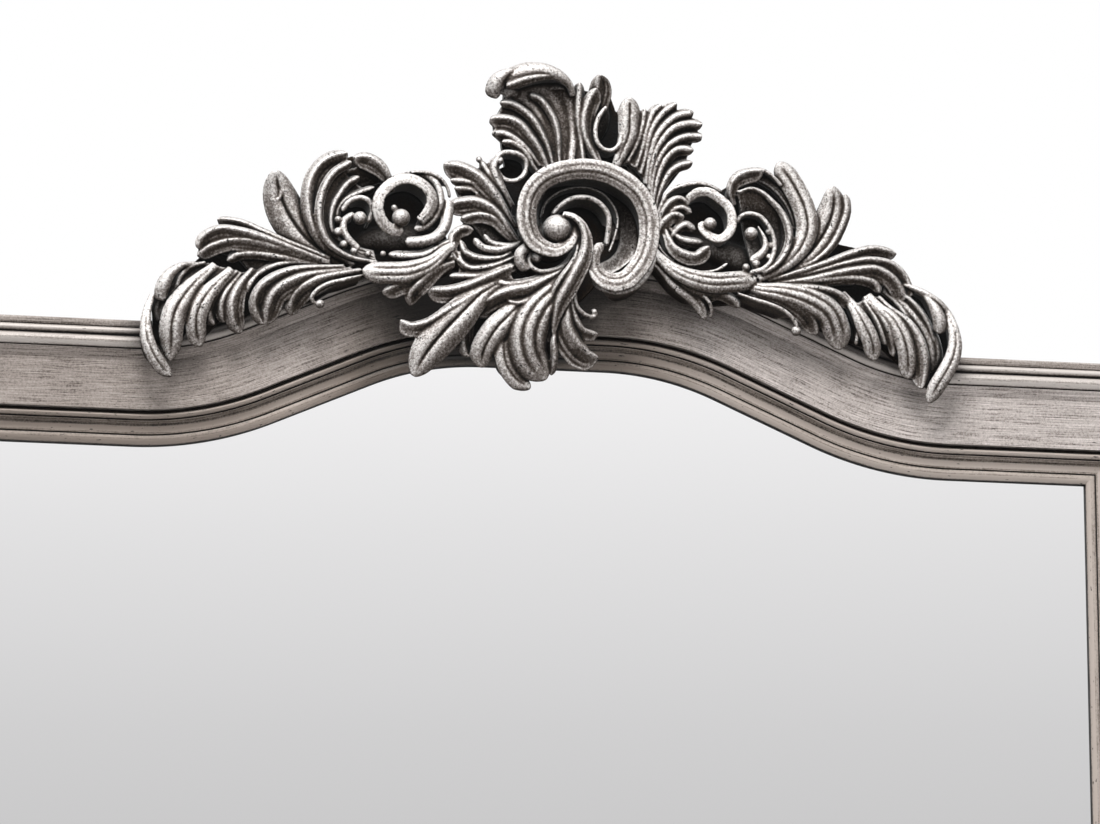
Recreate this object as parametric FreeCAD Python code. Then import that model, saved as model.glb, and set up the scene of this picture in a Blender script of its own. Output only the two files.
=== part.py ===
import FreeCAD, Part
import math
import os

from FreeCAD import Vector

# Wall mirror with a serpentine top rail, reeded outer moulding, stepped sight moulding
# and an asymmetric cast crest of leaves, volutes and a shell.
# Millimetres. X to the right, Z up, the glass faces -Y and the wall is on the +Y side.
# The origin is the centre of the flat underside of the bottom rail.
# Relief is the distance forward of the frame's back plane. A frame section is drawn in
# (reach, relief), where reach runs outward from the sight edge, the inner edge of the frame.

# Frame as a whole
OUTER_WIDTH = 1050.0
SHOULDER_HEIGHT = 1260.0
EDGE_DEPTH = 26.0
OVERRUN = 20.0

# Serpentine sight edge of the top rail: flat crown, crown arc, straight slope, haunch arc
CROWN_FLAT_HALF = 48.0
CROWN_RADIUS = 214.0
SLOPE_LENGTH = 82.5
HAUNCH_RADIUS = 270.0
SLOPE_ANGLE = math.radians(24.0)

# Outer moulding: edge fillet, small reed, large reed, quirk, then a slope down to the field
EDGE_FILLET_WIDTH = 5.5
SMALL_REED_WIDTH = 7.0
LARGE_REED_WIDTH = 10.0
QUIRK_WIDTH = 1.0
SHOULDER_SLOPE_WIDTH = 7.0
OUTER_MOULDING_SEAT = 16.0
SMALL_REED_RISE = 2.6
LARGE_REED_STEP = 1.2
LARGE_REED_RISE = 3.8
QUIRK_DEPTH = 1.0
SLOPE_TOP_RELIEF = 27.6

# Flat field of the rails and stiles
FIELD_WIDTH = 39.0
FIELD_RELIEF = 22.0

# Sight moulding: step, bead, quirk, cove, quirk, lip
STEP_WIDTH = 2.0
STEP_DROP = 4.0
BEAD_WIDTH = 5.0
BEAD_RISE = 2.4
COVE_WIDTH = 9.5
COVE_TOP_RELIEF = 18.6
COVE_FOOT_RELIEF = 13.4
COVE_SAG = 1.7
LIP_WIDTH = 7.0
LIP_EDGE_RELIEF = 11.4
LIP_RISE = 1.3
SIGHT_MOULDING_SEAT = 12.0

# Rebates, glass and back
GLASS_RECESS = 13.0
GLASS_FRONT_RELIEF = 8.0
GLASS_THICKNESS = 4.0
GLASS_CLEARANCE = 1.5
BOARD_LAP = 16.0
BOARD_THICKNESS = 3.0
BOARD_CLEARANCE = 0.5
CUSHION_WIDTH = 8.0
CUSHION_INSET = 1.0

# Fasteners
FIT_CLEARANCE = 0.05
SCREW_RADIUS = 1.75
SCREW_HEAD_RADIUS = 3.6
SCREW_HEAD_HEIGHT = 2.0
BOARD_SCREW_LENGTH = 10.0
BOARD_SCREW_SPACING = 180.0
PLATE_SCREW_LENGTH = 11.0
SCREW_SIDES = 8

# Corner joints
SPLINE_THICKNESS = 4.0
SPLINE_LENGTH = 44.0
SPLINE_WIDTH = 26.0
SPLINE_RELIEF = 8.0
SPLINE_CLEARANCE = 0.1
CORNER_PLATE_THICKNESS = 1.5
CORNER_PLATE_LEG = 70.0
CORNER_PLATE_WIDTH = 18.0
CORNER_PLATE_SCREW_INSET = 9.0

# Keyhole hangers let into the backs of the stiles
HANGER_DROP = 170.0
HANGER_WIDTH = 22.0
HANGER_HEIGHT = 62.0
HANGER_THICKNESS = 2.0
HANGER_SCREW_INSET = 8.0
KEYHOLE_RADIUS = 5.5
KEYHOLE_SLOT_WIDTH = 5.2
KEYHOLE_SLOT_RISE = 15.0
KEYHOLE_POCKET_DEPTH = 12.0
KEYHOLE_POCKET_MARGIN = 2.0

# Wall bumpers at the feet of the stiles
BUMPER_RADIUS = 7.0
BUMPER_THICKNESS = 3.0
BUMPER_HEIGHT = 140.0

# Crest castings
CREST_SPAN = 637.4
CREST_CLEARANCE = 0.3
CREST_RELIEF = 50.0
CREST_SCREW_RADIUS = 2.25
CREST_SCREW_HEAD_RADIUS = 4.2
CREST_SCREW_HEAD_HEIGHT = 2.6
CREST_SCREW_GRIP = 6.0
CREST_SCREW_SINK = 4.0
CREST_FOOT_WIDTH = 78.0
CREST_FOOT_HEIGHT = 66.0
STRAP_THICKNESS = 2.0
STRAP_WIDTH = 20.0
STRAP_LAP = 45.0
STRAP_SCREW_INSET = 12.0

# View in which the ornament was measured: the observer stands left of the mirror and below it.
# Pixel places are in the 1100 by 824 frame of that view.
VIEW_AZIMUTH = math.radians(9.42)
VIEW_CLIMB = math.radians(15.01)
VIEW_DISTANCE = 5000.0
VIEW_TARGET_X = 4.2
VIEW_TARGET_DROP = 35.6
VIEW_TARGET_RELIEF = 13.0
VIEW_CENTRE_PX = (550.0, 412.0)
CREST_ENDS_PX = (139.6, 962.0)

# Lobes of each casting, from base to tip: width in pixels, relief of the ridge at the base, the
# middle and the tip as shares of the crest's relief, and the line of the ridge in pixels.
LEFT_SPRAY_PIXELS_AND_SHARES = {
    "claw": (15, (0.30, 0.50, 0.35), [
        (192, 262), (172, 268), (158, 282), (149, 300),
        (146, 322), (150, 345), (161, 362), (176, 370)
    ]),
    "claw_tongue": (15, (0.25, 0.38, 0.30), [(178, 276), (164, 290), (159, 310), (161, 335), (168, 356)]),
    "teardrop": (22, (0.35, 0.50, 0.30), [(206, 266), (189, 290), (176, 312), (172, 335), (171, 358)]),
    "a": (20, (0.35, 0.50, 0.30), [(232, 272), (205, 297), (197, 315), (197, 330), (200, 346)]),
    "b": (9, (0.30, 0.42, 0.30), [(236, 276), (215, 296), (209, 309), (215, 324)]),
    "c": (8, (0.30, 0.40, 0.28), [(240, 278), (226, 292), (222, 303), (224.5, 322)]),
    "d": (16, (0.35, 0.48, 0.30), [(252, 276), (238, 290), (234, 310), (241, 334)]),
    "f": (10, (0.45, 0.45, 0.30), [(320, 256), (285, 241), (262, 231), (240, 222), (217, 219)]),
    "g1": (11, (0.45, 0.55, 0.35), [
        (310, 258), (262, 237), (240, 231),
        (220, 229), (205, 235), (197, 247)
    ]),
    "g2": (12, (0.45, 0.52, 0.30), [
        (320, 262), (275, 247), (250, 241),
        (230, 241), (211, 247), (197, 256)
    ]),
    "h": (9, (0.42, 0.48, 0.32), [(320, 264), (280, 256), (255, 252.5), (227, 261)]),
    "i": (8, (0.42, 0.45, 0.32), [(325, 264), (290, 262), (270, 267), (247, 281)]),
    "j1": (13, (0.50, 0.60, 0.35), [(340, 268), (290, 272), (264, 285), (256, 303), (264, 325)]),
    "j2": (16, (0.50, 0.62, 0.35), [(345, 270), (300, 279), (277, 292), (270, 308), (265, 325)]),
    "k": (17, (0.50, 0.62, 0.35), [(356, 274), (318, 281), (300, 291), (293, 303), (291, 315)]),
    "m": (34, (0.42, 0.45, 0.55), [(340, 262), (306, 240), (288, 220), (276, 195), (274, 171)]),
    "n": (20, (0.45, 0.55, 0.60), [
        (350, 262), (325, 243), (313, 220), (310, 197),
        (315, 175), (328, 158), (346, 154)
    ]),
    "hood": (15, (0.50, 0.62, 0.62), [
        (378, 262), (345, 253), (328, 240), (322, 222),
        (322, 203), (328, 184), (338, 171), (354, 163)
    ]),
    "curl": (15, (0.50, 0.62, 0.60), [(391, 190), (387, 174), (378, 163), (356, 160)]),
    "inner_hood": (16, (0.45, 0.50, 0.50), [(345, 235), (338, 210), (348, 193), (372, 182)]),
    "small_volute": (8, (0.50, 0.58, 0.55), [
        (373, 212), (369, 200), (359, 197), (348, 202),
        (343, 215), (345, 230), (357, 248)
    ]),
    "big_volute": (12, (0.60, 0.70, 0.62), [
        (421.5, 219.6), (432, 203), (424, 184), (410, 178), (394, 183),
        (380, 198), (381, 216), (390, 228), (402, 230)
    ]),
    "volute_band": (10, (0.55, 0.62, 0.50), [
        (398, 176), (420, 174), (437, 184),
        (441, 200), (436, 216), (416, 229)
    ]),
    "volute_foot": (12, (0.60, 0.66, 0.60), [(449, 196), (447, 220), (436, 236), (424, 240), (406, 240)]),
    "r1": (10, (0.55, 0.62, 0.55), [(452, 240), (425, 254), (405, 255.5), (390, 254)]),
    "r2": (20, (0.60, 0.75, 0.55), [(455, 246), (432, 262), (410, 270), (385, 270), (363, 270)]),
    "r3": (13, (0.58, 0.68, 0.55), [(450, 258), (420, 277), (400, 284), (383, 293)]),
    "r4": (13, (0.58, 0.70, 0.50), [(452, 262), (422, 283), (412, 293), (410, 305)]),
}

CARTOUCHE_PIXELS_AND_SHARES = {
    "s1": (18, (0.55, 0.66, 0.50), [(512, 222), (495, 195), (480, 178), (462, 168), (444, 164)]),
    "s1c": (10, (0.55, 0.60, 0.55), [(510, 205), (500, 183), (494, 167), (500, 158)]),
    "s3": (14, (0.55, 0.58, 0.48), [(510, 222), (490, 198), (473, 186), (455, 184)]),
    "s4": (15, (0.55, 0.64, 0.50), [(512, 238), (495, 211), (478, 202), (461, 203), (447, 207)]),
    "s5": (10, (0.50, 0.58, 0.50), [(510, 236), (495, 219), (483, 215), (461, 219)]),
    "s6": (10, (0.55, 0.60, 0.55), [(520, 246), (500, 249), (484, 247), (473, 236)]),
    "s8": (9, (0.60, 0.62, 0.55), [
        (512, 258), (500, 263), (484, 267), (468, 266),
        (457, 258), (453, 245), (457, 233), (472, 230)
    ]),
    "t1": (9, (0.62, 0.66, 0.55), [(512, 266), (484, 275), (464, 275.6), (450, 275.6)]),
    "t2": (16, (0.62, 0.72, 0.55), [(515, 268), (485, 279), (466, 287), (447, 291), (428, 290)]),
    "t3": (14, (0.60, 0.72, 0.50), [
        (505, 276), (470, 297), (448, 311),
        (428, 323), (412, 326), (400, 321)
    ]),
    "t4": (32, (0.60, 0.72, 0.45), [(505, 280), (462, 312), (443, 332), (427, 352), (413, 375)]),
    "t5": (14, (0.45, 0.48, 0.40), [(482, 300), (466, 322), (465, 340), (468, 357)]),
    "t6": (24, (0.60, 0.68, 0.42), [(530, 295), (512, 312), (495, 330), (484, 350), (481, 367)]),
    "t7": (20, (0.66, 0.76, 0.60), [(556, 276), (530, 288), (510, 292), (490, 301), (475, 312)]),
    "t8": (11, (0.66, 0.72, 0.60), [(552, 274), (536, 280), (520, 283.5), (506, 283.5), (492, 271)]),
    "t9": (11, (0.66, 0.74, 0.66), [
        (550, 246), (536, 244), (524, 250), (521, 259),
        (528, 268), (543, 271), (560, 266), (575, 256)
    ]),
    "t10": (12, (0.66, 0.76, 0.62), [(562, 280), (548, 288), (533, 299), (520, 304), (503, 296)]),
    "u1": (34, (0.75, 0.78, 0.50), [(562, 285), (540, 305), (529, 330), (530, 352), (546, 379)]),
    "u2": (17, (0.55, 0.56, 0.42), [
        (530, 300), (512, 322), (505, 340),
        (506, 362), (516, 378), (530, 388)
    ]),
    "u4": (22, (0.72, 0.70, 0.50), [(568, 295), (566, 325), (575, 343), (588, 355), (598, 358)]),
    "u5": (10, (0.70, 0.66, 0.50), [(572, 290), (573, 315), (583, 330), (598, 335)]),
    "stem": (14, (1.00, 0.95, 0.80), [
        (560, 215), (578, 219), (588, 236), (588, 251.5), (583, 265),
        (574, 279), (562, 300), (555, 318), (553.5, 336.5)
    ]),
    "scroll": (19, (0.80, 0.92, 0.80), [
        (543, 247), (531, 232), (527, 213), (531, 195), (545, 180), (565, 171), (585, 168),
        (605, 171), (625, 181), (641, 196),
        (649, 214), (650, 232), (647, 250), (638, 267), (625, 280), (610, 281), (597, 270),
        (595, 256), (603, 244)
    ]),
    "scroll_inner": (10, (0.70, 0.74, 0.60), [
        (548, 214), (556, 202), (569, 196), (583, 194),
        (598, 199), (608, 212), (609, 228), (607, 246)
    ]),
}

SHELL_PIXELS_AND_SHARES = {
    "hood": (14, (0.55, 0.62, 0.66), [
        (574, 92), (561, 79), (546, 72), (528, 69),
        (509, 74), (495, 83), (491, 98)
    ]),
    "v_body": (44, (0.40, 0.34, 0.52), [(562, 165), (556, 135), (543, 108), (526, 88)]),
    "v_left": (20, (0.40, 0.42, 0.46), [(540, 162), (530, 140), (517, 120), (500, 108)]),
    "v3": (14, (0.45, 0.50, 0.50), [(545, 162), (536, 146), (524, 130), (508.6, 119), (493, 119)]),
    "v4": (10, (0.42, 0.48, 0.46), [(538, 164), (525, 146), (512, 135), (494, 133)]),
    "eye": (6, (0.40, 0.46, 0.40), [
        (534, 166), (524, 152), (508, 149), (497, 156),
        (499, 172), (508, 180), (522, 177), (528, 166)
    ]),
    "w1": (14, (0.45, 0.40, 0.50), [(584, 160), (580, 136), (578, 118), (580, 86)]),
    "w2": (19, (0.45, 0.44, 0.58), [(602, 158), (590, 136), (589, 118), (594, 98), (600, 82)]),
    "w_right": (8, (0.45, 0.46, 0.46), [(612, 152), (620, 138), (621, 122), (617, 110)]),
    "w3": (18, (0.45, 0.50, 0.56), [(618, 158), (629, 137), (633, 118), (630, 101)]),
    "w4": (8, (0.42, 0.48, 0.50), [(630, 156), (640, 134), (645, 110)]),
    "fan_a": (9, (0.45, 0.50, 0.56), [(640, 160), (645, 137), (650, 121), (661, 105.5)]),
    "fan_b": (11, (0.45, 0.52, 0.56), [(644, 164), (650, 136), (656, 122), (676, 105)]),
    "fan_c": (13, (0.45, 0.54, 0.58), [(648, 175), (655, 138), (667, 123), (693, 113)]),
    "fan_d": (13, (0.45, 0.54, 0.58), [(652, 180), (656, 152), (673, 128), (702, 124)]),
    "fan_e": (12, (0.45, 0.52, 0.56), [(654, 186), (660, 160), (674, 141), (702, 136)]),
    "fan_f": (11, (0.45, 0.50, 0.52), [(656, 196), (660, 172), (670, 154), (692, 150)]),
    "fan_g": (10, (0.42, 0.46, 0.48), [(658, 200), (664, 182), (675, 167), (692, 162)]),
}

RIGHT_SPRAY_PIXELS_AND_SHARES = {
    "x_rim": (6, (0.50, 0.56, 0.50), [
        (660, 212), (664, 198), (673, 189),
        (690, 184), (709, 185), (722, 192)
    ]),
    "x_volute": (10, (0.55, 0.66, 0.60), [
        (688, 200), (700, 191), (714, 193), (727, 204), (733, 218),
        (730, 231), (720, 238), (707, 234), (703, 222)
    ]),
    "y1": (10, (0.50, 0.58, 0.55), [(662, 222), (666, 207), (678, 199), (690, 205)]),
    "y2": (10, (0.50, 0.58, 0.55), [(659, 236), (664, 223), (674, 215), (685, 217)]),
    "y3": (9, (0.50, 0.58, 0.55), [(668, 246), (676, 231), (686, 225), (696, 230)]),
    "y5": (12, (0.50, 0.62, 0.58), [(668, 240), (674, 248), (685, 254), (697, 256), (709, 248)]),
    "y6": (8, (0.45, 0.50, 0.50), [(672, 230), (681, 238), (690, 240), (704, 242)]),
    "y_rim": (6, (0.45, 0.50, 0.48), [(661, 248), (671, 260), (688, 269), (708, 271), (727, 264)]),
    "aa1": (20, (0.50, 0.68, 0.50), [(650, 248), (664, 262), (684, 274), (710, 281), (755, 279)]),
    "aa2": (10, (0.45, 0.55, 0.42), [(654, 258), (679, 280), (700, 291), (721, 293), (738, 304)]),
    "aa3": (14, (0.42, 0.52, 0.35), [(652, 262), (672, 280), (690, 295), (702, 308), (706, 320)]),
    "x2": (6, (0.52, 0.56, 0.52), [
        (738, 220), (749, 213), (762, 217), (773, 233),
        (773, 254), (762, 269), (748, 272)
    ]),
    "x2_crescent": (9, (0.55, 0.60, 0.55), [(760, 228), (766, 242), (761, 254), (750, 262)]),
    "z1": (14, (0.50, 0.60, 0.62), [(735, 204), (731, 188), (740, 176), (764, 172)]),
    "z_hood": (10, (0.55, 0.60, 0.55), [
        (738, 192), (752, 189), (769, 198), (783, 216),
        (789, 238), (780, 261), (763, 272)
    ]),
    "z2": (20, (0.50, 0.58, 0.58), [
        (762, 276), (788, 262), (803, 245), (808, 225),
        (804, 205), (793, 183), (778, 166)
    ]),
    "z3": (30, (0.45, 0.50, 0.58), [
        (758, 280), (790, 268), (812, 250),
        (828, 228), (836, 205), (836, 188)
    ]),
    "z4": (12, (0.48, 0.50, 0.35), [(780, 279), (830, 263), (855, 253), (875, 249), (895, 253)]),
    "z5": (11, (0.45, 0.50, 0.35), [
        (780, 282), (845, 264), (870, 260),
        (892, 264), (904, 275), (911, 295)
    ]),
    "z6": (13, (0.45, 0.52, 0.35), [
        (782, 284), (836, 274), (858, 270),
        (877, 269.5), (893, 279), (905, 298)
    ]),
    "z7": (10, (0.45, 0.50, 0.38), [(780, 285), (845, 277), (863, 278), (879, 292)]),
    "z8": (11, (0.48, 0.55, 0.42), [(758, 286), (795, 288), (820, 289), (838, 294), (853, 305)]),
    "z9": (26, (0.48, 0.60, 0.35), [
        (752, 286), (785, 291), (812, 298),
        (830, 310), (838, 328), (840, 349)
    ]),
    "z10": (15, (0.45, 0.58, 0.38), [(752, 290), (782, 299), (800, 307), (812, 319), (816, 334)]),
    "z12": (17, (0.38, 0.48, 0.32), [(848, 296), (865, 325), (872, 340), (874, 360)]),
    "z13": (10, (0.36, 0.44, 0.30), [(866, 298), (886, 323), (893, 340), (893.5, 356)]),
    "z14": (17, (0.36, 0.48, 0.30), [(870, 298), (893, 318), (904, 337), (908, 355), (908, 378)]),
    "z15": (18, (0.34, 0.46, 0.30), [(880, 300), (908, 323), (921, 342), (926, 362), (924, 388)]),
    "claw": (15, (0.32, 0.50, 0.35), [
        (905, 287), (925, 296), (941, 310), (953, 329),
        (956, 350), (950, 370), (938, 388), (930, 400)
    ]),
    "claw_tongue": (13, (0.28, 0.36, 0.30), [(912, 296), (926, 308), (934, 326), (937, 345), (934, 368)]),
}

# Ground that the lobes of a casting stand on: its outline in pixels, inside the leaves' own
LEFT_GROUND_PX = [
    (152, 300), (166, 282), (192, 264), (215, 243), (262, 240), (306, 246), (318, 215), (330, 176),
    (350, 168), (380, 182), (402, 178), (430, 183), (446, 202), (446, 236), (456, 262), (420, 280),
    (396, 286), (372, 274), (345, 282), (315, 300), (295, 306), (284, 300), (268, 316), (256, 300),
    (243, 322), (228, 312), (205, 336), (190, 326), (178, 346), (168, 352), (153, 338)
]
CARTOUCHE_GROUND_PX = [
    (456, 188), (505, 166), (522, 188), (534, 170), (562, 160), (600, 161), (640, 182), (657, 216),
    (654, 262), (630, 286), (602, 286), (592, 345), (566, 338), (546, 362), (530, 374), (505, 362),
    (484, 354), (468, 345), (430, 352), (450, 308), (436, 290), (470, 272), (455, 250), (466, 214)
]
SHELL_GROUND_PX = [
    (508, 186), (502, 150), (498, 112), (510, 92), (545, 84), (572, 98), (582, 90), (610, 95),
    (616, 112), (632, 106), (648, 114), (680, 112), (696, 126), (690, 150), (684, 166), (664, 192),
    (656, 218), (600, 190), (560, 190)
]
RIGHT_GROUND_PX = [
    (660, 204), (690, 187), (720, 191), (738, 180), (764, 177), (786, 186), (806, 214), (818, 226),
    (836, 200), (844, 214), (838, 244), (880, 253), (895, 264), (915, 292), (935, 306), (949, 326),
    (954, 350), (944, 372), (928, 388), (914, 362), (904, 368), (880, 345), (866, 346), (838, 338),
    (815, 326), (790, 310), (750, 302), (702, 306), (672, 282), (652, 262), (656, 230)
]
GROUND_RELIEF_SHARE = 0.14

# Round eyes of the volutes: radius and centre in pixels, then the top as a share of the relief
LEFT_EYES_PIXELS_AND_SHARES = [(6.8, (360, 218), 0.66), (8.8, (401, 218.5), 0.80)]
CARTOUCHE_EYES_PIXELS_AND_SHARES = [(15, (557, 229.6), 1.0)]
RIGHT_EYES_PIXELS_AND_SHARES = [(6.5, (710, 225), 0.72), (6.8, (751, 233.7), 0.64), (5, (796, 331), 0.48)]

# How a lobe's width and section change, as shares of its width, its ridge and its length
LOBE_BASE_WIDTH_SHARE = 0.45
LOBE_SWELL_SHARE = 0.45
LOBE_ROUND_SHARE = 0.65
LOBE_TIP_WIDTH_SHARE = 0.3
LOBE_FOOT_WIDTH_SHARE = 0.85
BAND_SHOULDER_RISE_SHARE = 0.93
LEAF_STATIONS = 5
BAND_TURNS = 7
EYE_SIDES = 10
EYE_RING_SHARES = [(0, 1), (0.6, 0.8), (0.92, 0.39)]

# Screws into the castings and the foot of the cartouche, along the crest from its middle, as
# shares of its span
CREST_SCREW_SHARES = (-0.452, -0.298, -0.188, -0.047, 0.066, 0.173, 0.243, 0.464)
CREST_FOOT_CENTRE_SHARE = 0.046

# Working values
RIM_WIDTH = EDGE_FILLET_WIDTH + SMALL_REED_WIDTH + LARGE_REED_WIDTH + QUIRK_WIDTH + SHOULDER_SLOPE_WIDTH
SIGHT_WIDTH = STEP_WIDTH + BEAD_WIDTH + QUIRK_WIDTH + COVE_WIDTH + QUIRK_WIDTH + LIP_WIDTH
FRAME_WIDTH = RIM_WIDTH + FIELD_WIDTH + SIGHT_WIDTH
SIGHT_HALF = OUTER_WIDTH / 2 - FRAME_WIDTH
SHOULDER_Z = SHOULDER_HEIGHT - FRAME_WIDTH
ARCH_RISE = (
    (CROWN_RADIUS + HAUNCH_RADIUS) * (1 - math.cos(SLOPE_ANGLE)) + SLOPE_LENGTH * math.sin(SLOPE_ANGLE)
)
CROWN_Z = SHOULDER_Z + ARCH_RISE
WAVE_HALF = (
    CROWN_FLAT_HALF
    + (CROWN_RADIUS + HAUNCH_RADIUS) * math.sin(SLOPE_ANGLE)
    + SLOPE_LENGTH * math.cos(SLOPE_ANGLE)
)


def depth(relief):
    """Y of a place that far forward of the back plane."""
    return EDGE_DEPTH / 2 - relief


def point(x, relief, z):
    return Vector(x, depth(relief), z)


def box(x0, x1, relief0, relief1, z0, z1):
    """Box between two corners given in X, relief and Z."""
    low = Vector(min(x0, x1), depth(max(relief0, relief1)), min(z0, z1))
    return Part.makeBox(abs(x1 - x0), abs(relief1 - relief0), abs(z1 - z0), low)


def cylinder(x, z, radius, relief0, relief1):
    """Cylinder along the depth of the frame, from one relief to a larger one."""
    return Part.makeCylinder(radius, relief1 - relief0, point(x, relief0, z), Vector(0, -1, 0))


def frustum(x, z, radius0, radius1, relief0, relief1, sides):
    """Many-sided bar along the depth of the frame, from one radius and relief to the next."""
    rows = []
    for radius, relief in ((radius0, relief0), (radius1, relief1)):
        turns = [2 * math.pi * (i + 0.5) / sides for i in range(sides)]
        rows.append([point(x + radius * math.cos(a), relief, z + radius * math.sin(a)) for a in turns])
    low, high = rows
    faces = [Part.Face(Part.makePolygon(row + row[:1])) for row in rows]
    for i in range(sides):
        j = (i + 1) % sides
        faces.append(Part.Face(Part.makePolygon([low[i], low[j], high[j], high[i], low[i]])))
    solid = Part.Solid(Part.Shell(faces))
    if solid.Volume < 0:
        solid.reverse()
    return solid


def fused(shapes):
    whole = shapes[0]
    if len(shapes) > 1:
        whole = whole.multiFuse(shapes[1:])
    return whole.removeSplitter()


def arc_edge(start, middle, end):
    return Part.Arc(start, middle, end).toShape()


def section_face(steps, place):
    """Closed face from a start and steps of (reach, relief) or (reach, relief, sag) points.

    A sag bends the line into an arc that rises by it, and place turns a point into 3D.
    """
    edges = []
    previous = steps[0]
    for step in steps[1:] + steps[:1]:
        start, end = place(*previous[:2]), place(*step[:2])
        sag = step[2] if len(step) > 2 else 0
        if sag:
            middle_reach = (previous[0] + step[0]) / 2
            middle_relief = (previous[1] + step[1]) / 2
            edges.append(arc_edge(start, place(middle_reach, middle_relief + sag), end))
        else:
            edges.append(Part.LineSegment(start, end).toShape())
        previous = step
    return Part.Face(Part.Wire(edges))


def core_section():
    """Rail or stile: glass rebate, back rebate, flat field and a ledge for each moulding."""
    field_start = SIGHT_WIDTH
    field_end = SIGHT_WIDTH + FIELD_WIDTH
    return [
        (GLASS_RECESS, BOARD_THICKNESS),
        (GLASS_RECESS, SIGHT_MOULDING_SEAT),
        (field_start, SIGHT_MOULDING_SEAT),
        (field_start, FIELD_RELIEF),
        (field_end, FIELD_RELIEF),
        (field_end, OUTER_MOULDING_SEAT),
        (FRAME_WIDTH, OUTER_MOULDING_SEAT),
        (FRAME_WIDTH, 0),
        (GLASS_RECESS + BOARD_LAP, 0),
        (GLASS_RECESS + BOARD_LAP, BOARD_THICKNESS),
    ]


def outer_moulding_section():
    """Two reeds between the edge fillet and a slope that falls to the field."""
    fillet_end = FRAME_WIDTH - EDGE_FILLET_WIDTH
    small_end = fillet_end - SMALL_REED_WIDTH
    large_end = small_end - LARGE_REED_WIDTH
    slope_top = large_end - QUIRK_WIDTH
    field_end = slope_top - SHOULDER_SLOPE_WIDTH
    step = EDGE_DEPTH + LARGE_REED_STEP
    return [
        (field_end, OUTER_MOULDING_SEAT),
        (FRAME_WIDTH, OUTER_MOULDING_SEAT),
        (FRAME_WIDTH, EDGE_DEPTH),
        (fillet_end, EDGE_DEPTH),
        (fillet_end, EDGE_DEPTH - QUIRK_DEPTH),
        (small_end, EDGE_DEPTH, SMALL_REED_RISE),
        (large_end, step, LARGE_REED_RISE),
        (large_end, SLOPE_TOP_RELIEF - QUIRK_DEPTH),
        (slope_top, SLOPE_TOP_RELIEF - QUIRK_DEPTH),
        (slope_top, SLOPE_TOP_RELIEF),
        (field_end, FIELD_RELIEF),
    ]


def sight_moulding_section():
    """Step, bead, cove and lip, from the field down to the glass."""
    lip_end = LIP_WIDTH
    cove_start = lip_end + QUIRK_WIDTH
    cove_end = cove_start + COVE_WIDTH
    bead_start = cove_end + QUIRK_WIDTH
    bead_end = bead_start + BEAD_WIDTH
    step_relief = FIELD_RELIEF - STEP_DROP
    return [
        (0, GLASS_FRONT_RELIEF),
        (0, LIP_EDGE_RELIEF),
        (lip_end, COVE_FOOT_RELIEF, LIP_RISE),
        (lip_end, COVE_FOOT_RELIEF - QUIRK_DEPTH),
        (cove_start, COVE_FOOT_RELIEF - QUIRK_DEPTH),
        (cove_start, COVE_FOOT_RELIEF),
        (cove_end, COVE_TOP_RELIEF, -COVE_SAG),
        (cove_end, step_relief - QUIRK_DEPTH),
        (bead_start, step_relief - QUIRK_DEPTH),
        (bead_start, step_relief),
        (bead_end, step_relief, BEAD_RISE),
        (bead_end, step_relief - QUIRK_DEPTH),
        (bead_end + STEP_WIDTH, step_relief - QUIRK_DEPTH),
        (bead_end + STEP_WIDTH, SIGHT_MOULDING_SEAT),
        (GLASS_RECESS, SIGHT_MOULDING_SEAT),
        (GLASS_RECESS, GLASS_FRONT_RELIEF),
    ]


def serpentine_runs():
    """Straight and curved stretches of the sight edge, left to right.

    Each is (start x, start z, heading, length or None, radius or None, turn).
    """
    straight = SIGHT_HALF - WAVE_HALF + FRAME_WIDTH + OVERRUN
    stretches = [
        ("line", straight),
        ("arc", HAUNCH_RADIUS, SLOPE_ANGLE),
        ("line", SLOPE_LENGTH),
        ("arc", CROWN_RADIUS, -SLOPE_ANGLE),
        ("line", 2 * CROWN_FLAT_HALF),
        ("arc", CROWN_RADIUS, -SLOPE_ANGLE),
        ("line", SLOPE_LENGTH),
        ("arc", HAUNCH_RADIUS, SLOPE_ANGLE),
        ("line", straight),
    ]
    x, z, heading = -SIGHT_HALF - FRAME_WIDTH - OVERRUN, SHOULDER_Z, 0
    runs = []
    for kind, size, *turn in stretches:
        runs.append((kind, size, x, z, heading, turn[0] if turn else 0))
        if kind == "line":
            x += size * math.cos(heading)
            z += size * math.sin(heading)
        else:
            side = math.copysign(1, turn[0])
            after = heading + turn[0]
            x += side * size * (math.sin(after) - math.sin(heading))
            z -= side * size * (math.cos(after) - math.cos(heading))
            heading = after
    return runs


def serpentine_sweep(section):
    """The section carried along the serpentine, its reach pointing up and outward."""
    pieces = []
    for kind, size, x, z, heading, turn in serpentine_runs():

        def place(reach, relief):
            return point(x - reach * math.sin(heading), relief, z + reach * math.cos(heading))

        face = section_face(section, place)
        if kind == "line":
            pieces.append(face.extrude(Vector(math.cos(heading) * size, 0, math.sin(heading) * size)))
        else:
            side = math.copysign(1, turn)
            centre = Vector(x - side * size * math.sin(heading), 0, z + side * size * math.cos(heading))
            pieces.append(face.revolve(centre, Vector(0, -1, 0), math.degrees(turn)))
    return fused(pieces)


def stile_sweep(section, side):
    """The section carried up a stile: side is -1 for the left one and 1 for the right."""

    def place(reach, relief):
        return point(side * (SIGHT_HALF + reach), relief, -OVERRUN)

    return section_face(section, place).extrude(Vector(0, 0, SHOULDER_HEIGHT + 2 * OVERRUN))


def bottom_sweep(section):
    def place(reach, relief):
        return point(-OUTER_WIDTH / 2 - OVERRUN, relief, FRAME_WIDTH - reach)

    return section_face(section, place).extrude(Vector(OUTER_WIDTH + 2 * OVERRUN, 0, 0))


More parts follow.
